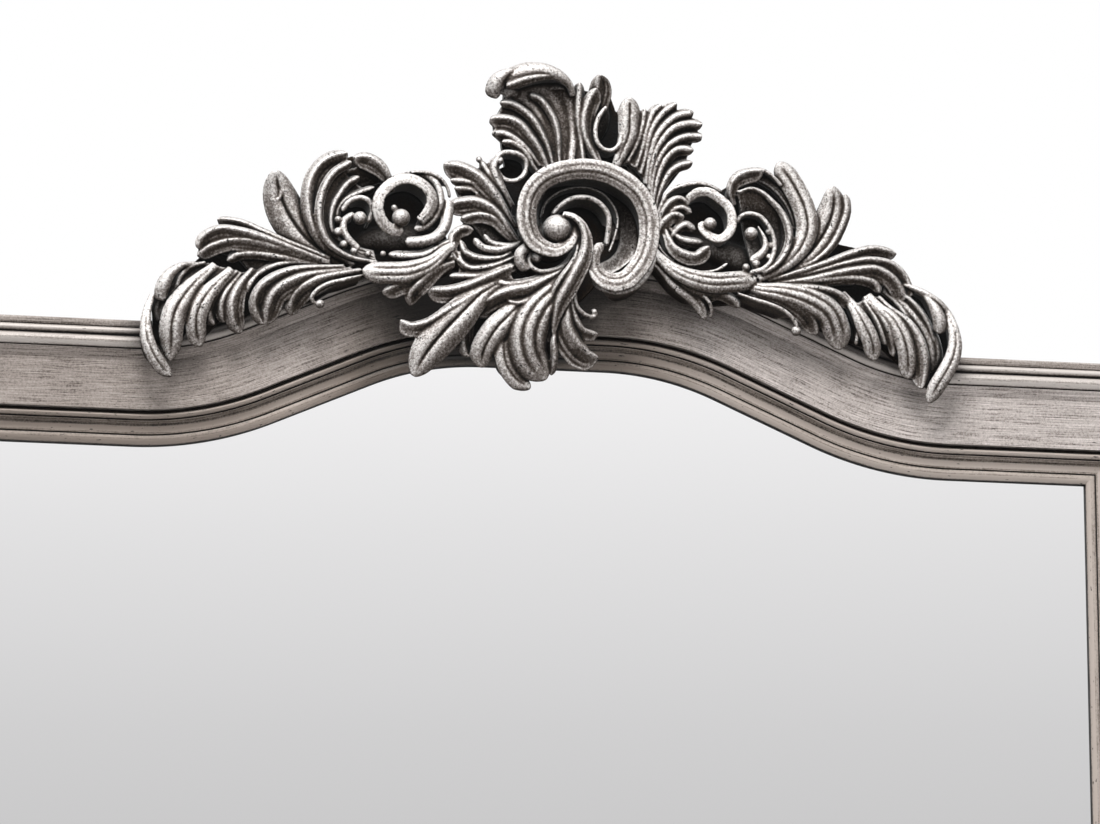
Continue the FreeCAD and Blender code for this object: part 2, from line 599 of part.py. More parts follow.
def mitre_region(where):
    """Block that keeps one side of the frame between its two mitre planes."""
    half = OUTER_WIDTH / 2
    inner = SIGHT_HALF
    lean = OVERRUN
    reach = FRAME_WIDTH
    middle = SHOULDER_HEIGHT / 2
    if where == "bottom":
        outline = [
            (-half - lean, -lean),
            (half + lean, -lean),
            (inner, reach),
            (inner - reach, reach + reach),
            (reach - inner, reach + reach),
            (-inner, reach),
        ]
    elif where == "top":
        high = SHOULDER_HEIGHT + lean
        above = SHOULDER_HEIGHT + ARCH_RISE + lean
        outline = [
            (-half - lean, high),
            (-half - lean, above),
            (half + lean, above),
            (half + lean, high),
            (inner, SHOULDER_Z),
            (inner - reach, SHOULDER_Z - reach),
            (reach - inner, SHOULDER_Z - reach),
            (-inner, SHOULDER_Z),
        ]
    else:
        side = -1 if where == "left" else 1
        high = SHOULDER_HEIGHT + lean
        outline = [
            (side * (half + lean), -lean),
            (side * inner, reach),
            (side * (inner - reach), middle),
            (side * inner, SHOULDER_Z),
            (side * (half + lean), high),
        ]
    back, front = -OVERRUN, EDGE_DEPTH + OVERRUN
    corners = [point(x, back, z) for x, z in outline]
    face = Part.Face(Part.makePolygon(corners + corners[:1]))
    return face.extrude(Vector(0, back - front, 0))


def frame_side(section, where):
    if where == "top":
        bar = serpentine_sweep(section)
    elif where == "bottom":
        bar = bottom_sweep(section)
    else:
        bar = stile_sweep(section, -1 if where == "left" else 1)
    return bar.common(mitre_region(where))


SIDES = ("top", "bottom", "left", "right")


def outline_at(reach, relief):
    """Face filling the opening out to one reach, its top edge following the serpentine."""
    half = SIGHT_HALF + reach
    low = FRAME_WIDTH - reach
    edges = [
        (point(-half, relief, SHOULDER_Z + reach), point(-half, relief, low)),
        (point(-half, relief, low), point(half, relief, low)),
        (point(half, relief, low), point(half, relief, SHOULDER_Z + reach)),
    ]
    wire = [Part.LineSegment(a, b).toShape() for a, b in edges]
    for kind, size, x, z, heading, turn in reversed(serpentine_runs()):
        nx, nz = -math.sin(heading), math.cos(heading)
        start = point(max(x, -half) + reach * nx, relief, z + reach * nz)
        if kind == "line":
            end_x = min(x + size * math.cos(heading), half) if heading == 0 else x + size * math.cos(heading)
            end = point(end_x + reach * nx, relief, z + size * math.sin(heading) + reach * nz)
            wire.append(Part.LineSegment(end, start).toShape())
            continue
        side = math.copysign(1, turn)
        radius = size - side * reach
        centre_x, centre_z = x - side * size * math.sin(heading), z + side * size * math.cos(heading)

        def on_arc(angle):
            return point(
                centre_x + side * radius * math.sin(angle), relief, centre_z - side * radius * math.cos(angle)
            )

        wire.append(arc_edge(on_arc(heading + turn), on_arc(heading + turn / 2), on_arc(heading)))
    return Part.Face(Part.Wire(Part.__sortEdges__(wire)))


def panel(reach, relief, thickness):
    """Flat sheet inside the frame, its edge at one reach all round."""
    return outline_at(reach, relief).extrude(Vector(0, -thickness, 0))


def mirror_glass():
    return panel(
        GLASS_RECESS - GLASS_CLEARANCE, GLASS_FRONT_RELIEF - GLASS_THICKNESS, GLASS_THICKNESS
    )


def cushion_strip(where):
    """Foam strip between the glass and the backing board, butted at the corners."""
    outer = GLASS_RECESS - GLASS_CLEARANCE - CUSHION_INSET
    inner = outer - CUSHION_WIDTH
    back, front = BOARD_THICKNESS, GLASS_FRONT_RELIEF - GLASS_THICKNESS
    if where in ("top", "bottom"):
        section = [(inner, back), (outer, back), (outer, front), (inner, front)]
        half = SIGHT_HALF + outer
        sweep = serpentine_sweep(section) if where == "top" else bottom_sweep(section)
        return sweep.common(box(-half, half, back, front, 0, SHOULDER_HEIGHT + ARCH_RISE))
    side = -1 if where == "left" else 1
    return box(
        side * (SIGHT_HALF + inner),
        side * (SIGHT_HALF + outer),
        back,
        front,
        FRAME_WIDTH - inner,
        SHOULDER_Z + inner,
    )


WOOD_SCREW = (SCREW_RADIUS, SCREW_HEAD_RADIUS, SCREW_HEAD_HEIGHT)
CREST_SCREW = (CREST_SCREW_RADIUS, CREST_SCREW_HEAD_RADIUS, CREST_SCREW_HEAD_HEIGHT)


def screw(x, z, seat, length, kind=WOOD_SCREW):
    """Flat-headed screw driven forward from behind, its head flush with the face at seat."""
    radius, head_radius, head = kind
    shank = frustum(x, z, radius, radius, seat + head, seat + length, SCREW_SIDES)
    cone = frustum(x, z, head_radius, radius, seat, seat + head, SCREW_SIDES)
    return shank.fuse(cone).removeSplitter()


def screw_hole(x, z, seat, length, kind=WOOD_SCREW):
    """Room for the same screw, open to the back."""
    radius, head_radius, head = kind
    room = FIT_CLEARANCE
    head_room, shank_room = head_radius + room, radius + room
    shank = frustum(x, z, shank_room, shank_room, seat + head, seat + length + room, SCREW_SIDES)
    cone = frustum(x, z, head_room, shank_room, seat, seat + head, SCREW_SIDES)
    open_back = frustum(x, z, head_room, head_room, seat - OVERRUN, seat, SCREW_SIDES)
    return [shank.fuse([cone, open_back]).removeSplitter()]


def serpentine_z(x, reach):
    """Height of the line at one reach above a place x on the serpentine."""
    x = abs(x)
    flat, angle = CROWN_FLAT_HALF, SLOPE_ANGLE
    crown, haunch = CROWN_RADIUS + reach, HAUNCH_RADIUS - reach
    crown_end = flat + crown * math.sin(angle)
    slope_end = crown_end + SLOPE_LENGTH * math.cos(angle)
    haunch_end = slope_end + haunch * math.sin(angle)
    if x <= flat:
        return CROWN_Z + reach
    if x <= crown_end:
        return CROWN_Z - CROWN_RADIUS + math.sqrt(crown**2 - (x - flat) ** 2)
    if x <= slope_end:
        top = CROWN_Z - CROWN_RADIUS + crown * math.cos(angle)
        return top - (x - crown_end) * math.tan(angle)
    if x <= haunch_end:
        return SHOULDER_Z + HAUNCH_RADIUS - math.sqrt(haunch**2 - (haunch_end - x) ** 2)
    return SHOULDER_Z + reach


def board_screw_places():
    """Evenly spaced screws around the lap of the backing board."""
    reach = GLASS_RECESS + BOARD_LAP / 2
    half, low, high = SIGHT_HALF + reach, FRAME_WIDTH - reach, SHOULDER_Z + reach
    across = int(2 * SIGHT_HALF // BOARD_SCREW_SPACING)
    upward = int((SHOULDER_Z - FRAME_WIDTH) // BOARD_SCREW_SPACING)
    places = []
    for i in range(across):
        x = -SIGHT_HALF + 2 * SIGHT_HALF * (i + 0.5) / across
        places += [(x, low), (x, serpentine_z(x, reach))]
    for i in range(upward):
        z = low + (high - low) * (i + 0.5) / upward
        places += [(-half, z), (half, z)]
    return places


def corners():
    """Each corner of the frame: the sides X and Z run out to from the mitre."""
    return [(side, 0, 1) for side in (-1, 1)] + [(side, SHOULDER_HEIGHT, -1) for side in (-1, 1)]


def corner_spline(side, level, inward, room=0):
    """Flat key set across a mitre, halfway along it."""
    reach = FRAME_WIDTH / 2 + BOARD_LAP / 2
    middle_x = side * (SIGHT_HALF + reach)
    middle_z = level + inward * (FRAME_WIDTH - reach)
    relief0, relief1 = SPLINE_RELIEF - room, SPLINE_RELIEF + SPLINE_THICKNESS + room
    half_length, half_width = SPLINE_LENGTH / 2 + room, SPLINE_WIDTH / 2 + room
    key = box(-half_length, half_length, relief0, relief1, -half_width, half_width)
    key.rotate(Vector(0, 0, 0), Vector(0, 1, 0), 45 * side * inward)
    key.translate(Vector(middle_x, 0, middle_z))
    return key


def corner_plate_places():
    """Screw places on the two legs of each corner plate."""
    near = CORNER_PLATE_SCREW_INSET
    far = CORNER_PLATE_LEG - CORNER_PLATE_SCREW_INSET
    middle = CORNER_PLATE_WIDTH / 2
    near += CORNER_PLATE_WIDTH
    return [(far, middle), (near, middle), (middle, far), (middle, near)]


def corner_plate_origin(side, level, inward):
    """Outer corner of a plate, midway across the backs of the two bars."""
    inset = (RIM_WIDTH + FIELD_WIDTH / 2 - CORNER_PLATE_WIDTH) / 2
    return side * (OUTER_WIDTH / 2 - inset), level + inward * inset


def corner_plate(side, level, inward):
    x, z = corner_plate_origin(side, level, inward)
    leg, width, back = CORNER_PLATE_LEG, CORNER_PLATE_WIDTH, -CORNER_PLATE_THICKNESS
    plate = box(x, x - side * leg, back, 0, z, z + inward * width).fuse(
        box(x, x - side * width, back, 0, z, z + inward * leg)
    )
    for along, up in corner_plate_places():
        for hole in screw_hole(x - side * along, z + inward * up, back, PLATE_SCREW_LENGTH):
            plate = plate.cut(hole)
    return plate.removeSplitter()


def hanger_place(side):
    reach = SIGHT_WIDTH + FIELD_WIDTH / 2
    return side * (SIGHT_HALF + reach), SHOULDER_HEIGHT - HANGER_DROP


def keyhole(x, z, relief0, relief1, room=0):
    """Round entry with a narrower slot rising from it."""
    half = KEYHOLE_SLOT_WIDTH / 2 + room
    slot = box(x - half, x + half, relief0, relief1, z, z + KEYHOLE_SLOT_RISE)
    end = cylinder(x, z + KEYHOLE_SLOT_RISE, half, relief0, relief1)
    return cylinder(x, z, KEYHOLE_RADIUS + room, relief0, relief1).fuse([slot, end])


def hanger_screw_places(side):
    x, z = hanger_place(side)
    foot = z - HANGER_HEIGHT / 2 + KEYHOLE_SLOT_RISE / 2
    return [(x, foot + HANGER_SCREW_INSET), (x, foot + HANGER_HEIGHT - HANGER_SCREW_INSET)]


def hanger_plate(side, room=0):
    """Keyhole plate, flush with the back of the stile."""
    x, z = hanger_place(side)
    foot = z - HANGER_HEIGHT / 2 + KEYHOLE_SLOT_RISE / 2
    half = HANGER_WIDTH / 2 + room
    return box(x - half, x + half, 0, HANGER_THICKNESS + room, foot - room, foot + HANGER_HEIGHT + room)


def hanger(side):
    x, z = hanger_place(side)
    plate = hanger_plate(side).cut(keyhole(x, z, 0, HANGER_THICKNESS))
    for place in hanger_screw_places(side):
        for hole in screw_hole(*place, 0, PLATE_SCREW_LENGTH):
            plate = plate.cut(hole)
    return plate


def hanger_pocket(side):
    """Room in the stile for the plate and for the head of the wall screw behind it."""
    x, z = hanger_place(side)
    half = KEYHOLE_RADIUS + KEYHOLE_POCKET_MARGIN
    bottom = HANGER_THICKNESS
    hollow = box(x - half, x + half, bottom, bottom + KEYHOLE_POCKET_DEPTH, z, z + KEYHOLE_SLOT_RISE)
    ends = [
        cylinder(x, height, half, bottom, bottom + KEYHOLE_POCKET_DEPTH)
        for height in (z, z + KEYHOLE_SLOT_RISE)
    ]
    return [hanger_plate(side, FIT_CLEARANCE), hollow.fuse(ends)]


def bumper(side):
    reach = SIGHT_WIDTH + FIELD_WIDTH / 2
    return cylinder(side * (SIGHT_HALF + reach), BUMPER_HEIGHT, BUMPER_RADIUS, -BUMPER_THICKNESS, 0)


def core_bar(where):
    """Rail or stile with its screw holes, key slots and hanger pocket."""
    bar = frame_side(core_section(), where)
    cuts = [corner_spline(*corner, SPLINE_CLEARANCE) for corner in corners()]
    holes = [(x, z, 0, BOARD_SCREW_LENGTH) for x, z in board_screw_places()]
    for side, level, inward in corners():
        x, z = corner_plate_origin(side, level, inward)
        for along, up in corner_plate_places():
            holes.append((x - side * along, z + inward * up, -CORNER_PLATE_THICKNESS, PLATE_SCREW_LENGTH))
    for side in (-1, 1):
        cuts += hanger_pocket(side)
        holes += [(x, z, 0, PLATE_SCREW_LENGTH) for x, z in hanger_screw_places(side)]
    for hole in holes:
        cuts += screw_hole(*hole)
    if where == "top":
        for x, z in crest_screw_places():
            cuts += crest_screw_hole(x, z)
        for x, z in strap_screw_places():
            cuts += screw_hole(x, z, -STRAP_THICKNESS, PLATE_SCREW_LENGTH)
    near = [cut for cut in cuts if bar.BoundBox.intersect(cut.BoundBox)]
    return bar.cut(near)


def backing_board():
    board = panel(GLASS_RECESS + BOARD_LAP - BOARD_CLEARANCE, 0, BOARD_THICKNESS)
    cuts = []
    for x, z in board_screw_places():
        cuts += screw_hole(x, z, 0, BOARD_SCREW_LENGTH)
    return board.cut(cuts)


def sight_line():
    """Unit directions of the measuring view: forward, right and up."""
    forward = Vector(
        math.sin(VIEW_AZIMUTH) * math.cos(VIEW_CLIMB),
        math.cos(VIEW_AZIMUTH) * math.cos(VIEW_CLIMB),
        math.sin(VIEW_CLIMB),
    )
    right = Vector(math.cos(VIEW_AZIMUTH), -math.sin(VIEW_AZIMUTH), 0)
    return forward, right, right.cross(forward)


def seen_at(pixel, relief):
    """Place on the plane at one relief that the measuring view shows at a pixel."""
    forward, right, up = sight_line()
    target = point(VIEW_TARGET_X, VIEW_TARGET_RELIEF, CROWN_Z - VIEW_TARGET_DROP)
    eye = target - forward * VIEW_DISTANCE
    scale = CREST_SPAN / (CREST_ENDS_PX[1] - CREST_ENDS_PX[0])
    ray = forward * VIEW_DISTANCE
    ray += right * ((pixel[0] - VIEW_CENTRE_PX[0]) * scale)
    ray -= up * ((pixel[1] - VIEW_CENTRE_PX[1]) * scale)
    return eye + ray * ((depth(relief) - eye.y) / ray.y)


def pixel_size():
    return CREST_SPAN / (CREST_ENDS_PX[1] - CREST_ENDS_PX[0])


def crest_back():
    """Relief of the castings' flat backs, just clear of the large reed."""
    return EDGE_DEPTH + LARGE_REED_STEP + LARGE_REED_RISE + CREST_CLEARANCE


def ridge_line(shares, pixels, count):
    """Evenly spaced places along the ridge of a lobe."""
    runs = [0]
    for a, b in zip(pixels, pixels[1:]):
        runs.append(runs[-1] + math.dist(a, b))
    base, middle, tip = shares
    places = []
    for pixel, run in zip(pixels, runs):
        t = run / runs[-1]
        share = base * (1 - t) * (1 - 2 * t) + 4 * middle * t * (1 - t) + tip * t * (2 * t - 1)
        places.append(seen_at(pixel, crest_back() + CREST_RELIEF * share))
    curve = Part.BSplineCurve()
    curve.interpolate(places)
    return curve.toShape().discretize(Number=count)


def width_share(t):
    """Width of a lobe along its length: it swells from the base and rounds off at the tip."""
    swell = min(1, LOBE_BASE_WIDTH_SHARE + (1 - LOBE_BASE_WIDTH_SHARE) * t / LOBE_SWELL_SHARE)
    if t <= LOBE_ROUND_SHARE:
        return swell
    past = (t - LOBE_ROUND_SHARE) / (1 - LOBE_ROUND_SHARE)
    return max(LOBE_TIP_WIDTH_SHARE, math.sqrt(1 - past**2) * swell)


def across(line, i):
    """Unit direction across the lobe at one of its stations."""
    run = line[min(i + 1, len(line) - 1)] - line[max(i - 1, 0)]
    side = Vector(run.z, 0, -run.x)
    return side.normalize()


def triangle(a, b, c):
    return Part.Face(Part.makePolygon([a, b, c, a]))


def skin(rows):
    """Solid through closed rows of corners, with flat facets between them."""
    faces = []
    corners_per_row = len(rows[0])
    for low, high in zip(rows, rows[1:]):
        for i in range(corners_per_row):
            j = (i + 1) % corners_per_row
            faces.append(triangle(low[i], low[j], high[j]))
            faces.append(triangle(low[i], high[j], high[i]))
    for row in (rows[0], rows[-1]):
        faces += [triangle(row[0], row[i], row[i + 1]) for i in range(1, corners_per_row - 1)]
    solid = Part.Solid(Part.Shell(faces))
    if solid.Volume < 0:
        solid.reverse()
    return solid


def lobe(width, shares, pixels):
    """Ridged leaf lobe or, where the line turns far, a band with a crowned top."""
    banded = len(pixels) >= BAND_TURNS
    stations = len(pixels) if banded else LEAF_STATIONS
    line = ridge_line(shares, pixels, stations)
    back = crest_back()
    rows = []
    for i, ridge in enumerate(line):
        half = width * pixel_size() / 2
        if not banded:
            half *= width_share(i / (stations - 1))
        side, rise = across(line, i) * half, EDGE_DEPTH / 2 - ridge.y - back
        foot = Vector(ridge.x, depth(back), ridge.z)
        row = [foot - side * LOBE_FOOT_WIDTH_SHARE]
        if banded:
            shoulder = foot - Vector(0, rise * BAND_SHOULDER_RISE_SHARE, 0)
            row += [shoulder - side, ridge, shoulder + side]
        else:
            row.append(ridge)
        row.append(foot + side * LOBE_FOOT_WIDTH_SHARE)
        rows.append(row)
    return skin(rows)


def eye(radius, pixel, share):
    """Domed boss at the centre of a volute."""
    r = radius * pixel_size()
    top = crest_back() + CREST_RELIEF * share
    middle = seen_at(pixel, top - r)
    turns = [2 * math.pi * i / EYE_SIDES for i in range(EYE_SIDES)]
    rings = [(crest_back(), r)] + [(top - r + r * rise, r * reach) for rise, reach in EYE_RING_SHARES]
    rows = []
    for relief, reach in rings:
        ring = [(middle.x + reach * math.cos(a), middle.z + reach * math.sin(a)) for a in turns]
        rows.append([point(x, relief, z) for x, z in ring])
    return [skin(rows)]


def ground(pixels):
    """Flat ground behind the lobes of a casting."""
    relief = crest_back() + CREST_RELIEF * GROUND_RELIEF_SHARE
    corners = [seen_at(pixel, relief) for pixel in pixels]
    face = Part.Face(Part.makePolygon(corners + corners[:1]))
    return face.extrude(Vector(0, relief - crest_back(), 0))


def casting(tables, grounds, eyes):
    solids = [ground(pixels) for pixels in grounds]
    solids += [lobe(*row) for table in tables for row in table.values()]
    for row in eyes:
        solids += eye(*row)
    whole = solids[0]
    for solid in solids[1:]:
        whole = whole.fuse(solid)
    return whole


def main_solid(shape):
    return max(shape.Solids, key=lambda solid: solid.Volume)


def crest_screw_places():
    reach = FRAME_WIDTH - RIM_WIDTH / 2
    return [(CREST_SPAN * share, serpentine_z(CREST_SPAN * share, reach)) for share in CREST_SCREW_SHARES]


def crest_screw_sizes():
    """Seat, length, shank and head of the long screws that draw the castings to the rail."""
    seat = CREST_SCREW_SINK
    return seat, crest_back() + CREST_SCREW_GRIP - seat


def crest_screw(x, z):
    seat, length = crest_screw_sizes()
    return screw(x, z, seat, length, CREST_SCREW)


def crest_screw_hole(x, z):
    seat, length = crest_screw_sizes()
    return screw_hole(x, z, seat, length, CREST_SCREW)


def crest_foot():
    """Block behind the shell that stands on the rail's edge, flush with the frame's back."""
    low = CROWN_Z + FRAME_WIDTH + CREST_CLEARANCE
    x = CREST_SPAN * CREST_FOOT_CENTRE_SHARE
    return box(
        x - CREST_FOOT_WIDTH / 2, x + CREST_FOOT_WIDTH / 2, 0, crest_back(), low, low + CREST_FOOT_HEIGHT
    )


def strap_xs():
    x = CREST_SPAN * CREST_FOOT_CENTRE_SHARE
    offset = CREST_FOOT_WIDTH / 2 - STRAP_WIDTH
    return [x - offset, x + offset]


def strap_screw_places():
    reach = STRAP_LAP - STRAP_SCREW_INSET
    edge = CROWN_Z + FRAME_WIDTH
    return [(x, edge + side * reach) for x in strap_xs() for side in (-1, 1)]


def strap(x):
    edge = CROWN_Z + FRAME_WIDTH
    half = STRAP_WIDTH / 2
    bar = box(x - half, x + half, -STRAP_THICKNESS, 0, edge - STRAP_LAP, edge + STRAP_LAP)
    cuts = []
    for place in strap_screw_places():
        if abs(place[0] - x) < half:
            cuts += screw_hole(*place, -STRAP_THICKNESS, PLATE_SCREW_LENGTH)
    return bar.cut(cuts)


def castings():
    """The three castings, each spray scribed to the cartouche that it butts against."""
    cartouche = casting(
        [CARTOUCHE_PIXELS_AND_SHARES, SHELL_PIXELS_AND_SHARES],
        [CARTOUCHE_GROUND_PX, SHELL_GROUND_PX],
        CARTOUCHE_EYES_PIXELS_AND_SHARES,
    )
    cartouche = main_solid(cartouche.fuse(crest_foot()))
    holes = []
    for x, z in crest_screw_places():
        holes += crest_screw_hole(x, z)
    for x, z in strap_screw_places():
        holes += screw_hole(x, z, -STRAP_THICKNESS, PLATE_SCREW_LENGTH)
    left = casting([LEFT_SPRAY_PIXELS_AND_SHARES], [LEFT_GROUND_PX], LEFT_EYES_PIXELS_AND_SHARES)
    right = casting([RIGHT_SPRAY_PIXELS_AND_SHARES], [RIGHT_GROUND_PX], RIGHT_EYES_PIXELS_AND_SHARES)
    left, right = (main_solid(spray.cut(cartouche)) for spray in (left, right))
    return [main_solid(shape.cut(holes)) for shape in (cartouche, left, right)]


def bodies():
    """Every node of the mirror by name."""
    nodes = {}
    names = {"top": "top_rail", "bottom": "bottom_rail", "left": "left_stile", "right": "right_stile"}
    for where in SIDES:
        nodes[names[where]] = core_bar(where)
        nodes["outer_moulding_" + where] = frame_side(outer_moulding_section(), where)
        nodes["sight_moulding_" + where] = frame_side(sight_moulding_section(), where)
        nodes["cushion_strip_" + where] = cushion_strip(where)
    crest_holes = [hole for place in crest_screw_places() for hole in crest_screw_hole(*place)]
    nodes["outer_moulding_top"] = nodes["outer_moulding_top"].cut(crest_holes)
    nodes["mirror_glass"] = mirror_glass()
    nodes["backing_board"] = backing_board()
    nodes["crest_cartouche"], nodes["crest_left_spray"], nodes["crest_right_spray"] = castings()
    nodes["left_hanger"], nodes["right_hanger"] = hanger(-1), hanger(1)
    groups = {
        "board_screws": [screw(x, z, 0, BOARD_SCREW_LENGTH) for x, z in board_screw_places()],
        "corner_splines": [corner_spline(*corner) for corner in corners()],
        "corner_plates": [corner_plate(*corner) for corner in corners()],
        "corner_screws": corner_screws(),
        "hanger_screws": [
            screw(x, z, 0, PLATE_SCREW_LENGTH) for side in (-1, 1) for x, z in hanger_screw_places(side)
        ],
        "wall_bumpers": [bumper(-1), bumper(1)],
        "crest_screws": [crest_screw(x, z) for x, z in crest_screw_places()],
        "crest_straps": [strap(x) for x in strap_xs()],
        "strap_screws": [
            screw(x, z, -STRAP_THICKNESS, PLATE_SCREW_LENGTH) for x, z in strap_screw_places()
        ],
    }
    for name, solids in groups.items():
        nodes[name] = Part.makeCompound(solids)
    return nodes


def corner_screws():
    solids = []
    for side, level, inward in corners():
        x, z = corner_plate_origin(side, level, inward)
        for along, up in corner_plate_places():
            place = x - side * along, z + inward * up
            solids.append(screw(*place, -CORNER_PLATE_THICKNESS, PLATE_SCREW_LENGTH))
    return solids


def main():
    os.makedirs("parts", exist_ok=True)
    for name, shape in bodies().items():
        shape.exportStep("parts/" + name + ".step")
        print(name, len(shape.Solids), "solids", round(shape.Volume / 1000, 1), "cm3", shape.isValid())


main()
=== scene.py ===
"""Looks of the baroque wall mirror: antique silver leaf, a carved crest and silvered glass.

Metres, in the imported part's frame: X to the right, Z up, the glass faces -Y. Relief is the distance
forward of the frame's back plane. Pixel places are in the photograph's 1100 by 824 frame.
"""

import math

import bmesh
import bpy
import numpy as np
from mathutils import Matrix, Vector


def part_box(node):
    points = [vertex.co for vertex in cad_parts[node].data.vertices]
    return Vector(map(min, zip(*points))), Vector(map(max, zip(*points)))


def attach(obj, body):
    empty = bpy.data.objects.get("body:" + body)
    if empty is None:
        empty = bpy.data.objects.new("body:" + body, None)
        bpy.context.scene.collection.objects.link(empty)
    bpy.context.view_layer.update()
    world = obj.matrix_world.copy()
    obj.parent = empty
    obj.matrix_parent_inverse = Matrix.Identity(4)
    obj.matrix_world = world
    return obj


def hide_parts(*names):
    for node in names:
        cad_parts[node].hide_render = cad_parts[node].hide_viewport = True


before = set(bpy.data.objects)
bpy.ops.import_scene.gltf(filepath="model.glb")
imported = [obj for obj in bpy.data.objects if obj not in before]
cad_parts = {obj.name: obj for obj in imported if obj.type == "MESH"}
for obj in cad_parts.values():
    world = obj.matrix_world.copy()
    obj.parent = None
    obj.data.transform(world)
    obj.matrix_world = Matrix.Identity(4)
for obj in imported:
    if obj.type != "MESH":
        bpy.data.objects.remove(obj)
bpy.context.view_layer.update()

MM = 0.001
IMAGE_WIDTH = 1100
SENSOR = 36.0

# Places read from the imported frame
BACK_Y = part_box("top_rail")[1].y
CROWN_TOP_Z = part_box("top_rail")[1].z
FRAME_WIDTH = 95 * MM
CROWN_Z = CROWN_TOP_Z - FRAME_WIDTH
CREST_BACK = 31.3 * MM
CREST_RELIEF = 50 * MM

# The view in which the ornament was measured, left of the mirror and below it
VIEW_AZIMUTH = math.radians(9.42)
VIEW_CLIMB = math.radians(15.01)
VIEW_DISTANCE = 5000 * MM
VIEW_TARGET_X = 4.2 * MM
VIEW_TARGET_DROP = 35.6 * MM
VIEW_TARGET_RELIEF = 13 * MM
VIEW_CENTRE_PX = (550.0, 412.0)
CREST_SPAN_MM = 637.4
CREST_SPAN_PX = 962.0 - 139.6
PIXEL = CREST_SPAN_MM / CREST_SPAN_PX * MM

LEVEL = math.cos(VIEW_CLIMB)
FORWARD = np.array([math.sin(VIEW_AZIMUTH) * LEVEL, math.cos(VIEW_AZIMUTH) * LEVEL, math.sin(VIEW_CLIMB)])
RIGHT = np.array([math.cos(VIEW_AZIMUTH), -math.sin(VIEW_AZIMUTH), 0.0])
UP = np.cross(RIGHT, FORWARD)
TARGET = np.array([VIEW_TARGET_X, BACK_Y - VIEW_TARGET_RELIEF, CROWN_Z - VIEW_TARGET_DROP])
EYE = TARGET - FORWARD * VIEW_DISTANCE


def seen_at(pixel, relief):
    """Place on the plane at one relief that the camera shows at a pixel."""
    ray = FORWARD * VIEW_DISTANCE + RIGHT * ((pixel[0] - VIEW_CENTRE_PX[0]) * PIXEL)
    ray = ray - UP * ((pixel[1] - VIEW_CENTRE_PX[1]) * PIXEL)
    return EYE + ray * ((BACK_Y - relief - EYE[1]) / ray[1])


def relief_at(share):
    return CREST_BACK + CREST_RELIEF * share


def smoothstep(low, high, x):
    t = np.clip((x - low) / (high - low), 0, 1)
    return t * t * (3 - 2 * t)


def between(a, b, start, end, t):
    return (end - t) / (end - start) * a + (t - start) / (end - start) * b


SPLINE_STEPS = 16
# How far the curve's outer control points and knots lie past its ends, as shares of the end step
END_OVERRUN = 0.5
END_KNOT = 0.7


def spline(points, count):
    """Smooth curve through points, evenly stepped, and its length."""
    points = np.array(points, float)
    steps = np.sqrt(np.linalg.norm(np.diff(points, axis=0), axis=1))
    inner = np.concatenate([[0], np.cumsum(steps)])
    before = points[0] + (points[0] - points[1]) * END_OVERRUN
    after = points[-1] + (points[-1] - points[-2]) * END_OVERRUN
    padded = np.vstack([before, points, after])
    knots = np.concatenate([[-steps[0] * END_KNOT], inner, [inner[-1] + steps[-1] * END_KNOT]])
    dense = []
    for i in range(1, len(padded) - 2):
        k = knots[i - 1 : i + 3]
        p = padded[i - 1 : i + 3]
        t = np.linspace(k[1], k[2], SPLINE_STEPS, endpoint=False)[:, None]
        near = [between(p[j], p[j + 1], k[j], k[j + 1], t) for j in range(3)]
        wide = [between(near[j], near[j + 1], k[j], k[j + 2], t) for j in range(2)]
        dense.append(between(*wide, k[1], k[2], t))
    dense = np.vstack(dense + [points[-1:]])
    run = np.concatenate([[0], np.cumsum(np.linalg.norm(np.diff(dense, axis=0), axis=1))])
    even = np.linspace(0, run[-1], count)
    return np.stack([np.interp(even, run, dense[:, k]) for k in range(points.shape[1])], 1), run[-1]


def unit(v):
    return v / np.maximum(np.linalg.norm(v, axis=-1, keepdims=True), 1e-12)


def hump(u, middle, width, height):
    return height * np.exp(-(((u - middle) / width) ** 2))


# Crowns: height over a lobe's half width, u from -1 to 1 across and t from base to tip
def crown_leaf(u, t):
    """Ridge toward one edge with a slow hollow slope on its other side, cupped near the tip."""
    rise = np.clip((u + 1.15) / 1.45, 0, 1) ** 1.5
    slope = rise * (1 - 0.92 * np.clip((u - 0.3) / 0.7, 0, 1) ** 1.8)
    line = hump(u, -0.30, 0.07, 0.17) + hump(u, -0.68, 0.07, 0.10)
    cup = hump(u, -0.1, 0.36, 0.12) * smoothstep(0.62, 0.8, t)
    return slope - (line * smoothstep(0.03, 0.15, t) + cup) * (1 - smoothstep(0.84, 0.97, t))


def crown_midrib(u, t):
    """Two soft halves either side of a thin groove."""
    dome = 1 - 0.85 * np.abs(u) ** 2.3
    groove = hump(u, 0, 0.07, 0.26) + hump(u, 0, 0.3, 0.16)
    return dome - groove * smoothstep(0, 0.12, t) * (1 - smoothstep(0.86, 0.98, t))


def crown_rib(u, t):
    """Narrow ridge between hollow flanks."""
    return np.exp(-np.abs(u / 0.66) ** 3) + 0 * t


def crown_fill(u, t):
    return 1 - 0.85 * np.abs(u) ** 2.2 + 0 * t


def crown_flutes(count):
    def crown(u, t):
        dome = 1 - 0.8 * np.abs(u) ** 2.4
        wave = np.abs(np.cos(np.pi * count * (u + 1) / 2))
        depth = 0.24 * smoothstep(0, 0.1, t) * (1 - smoothstep(0.80, 0.97, t))
        return dome - depth * wave**5

    return crown


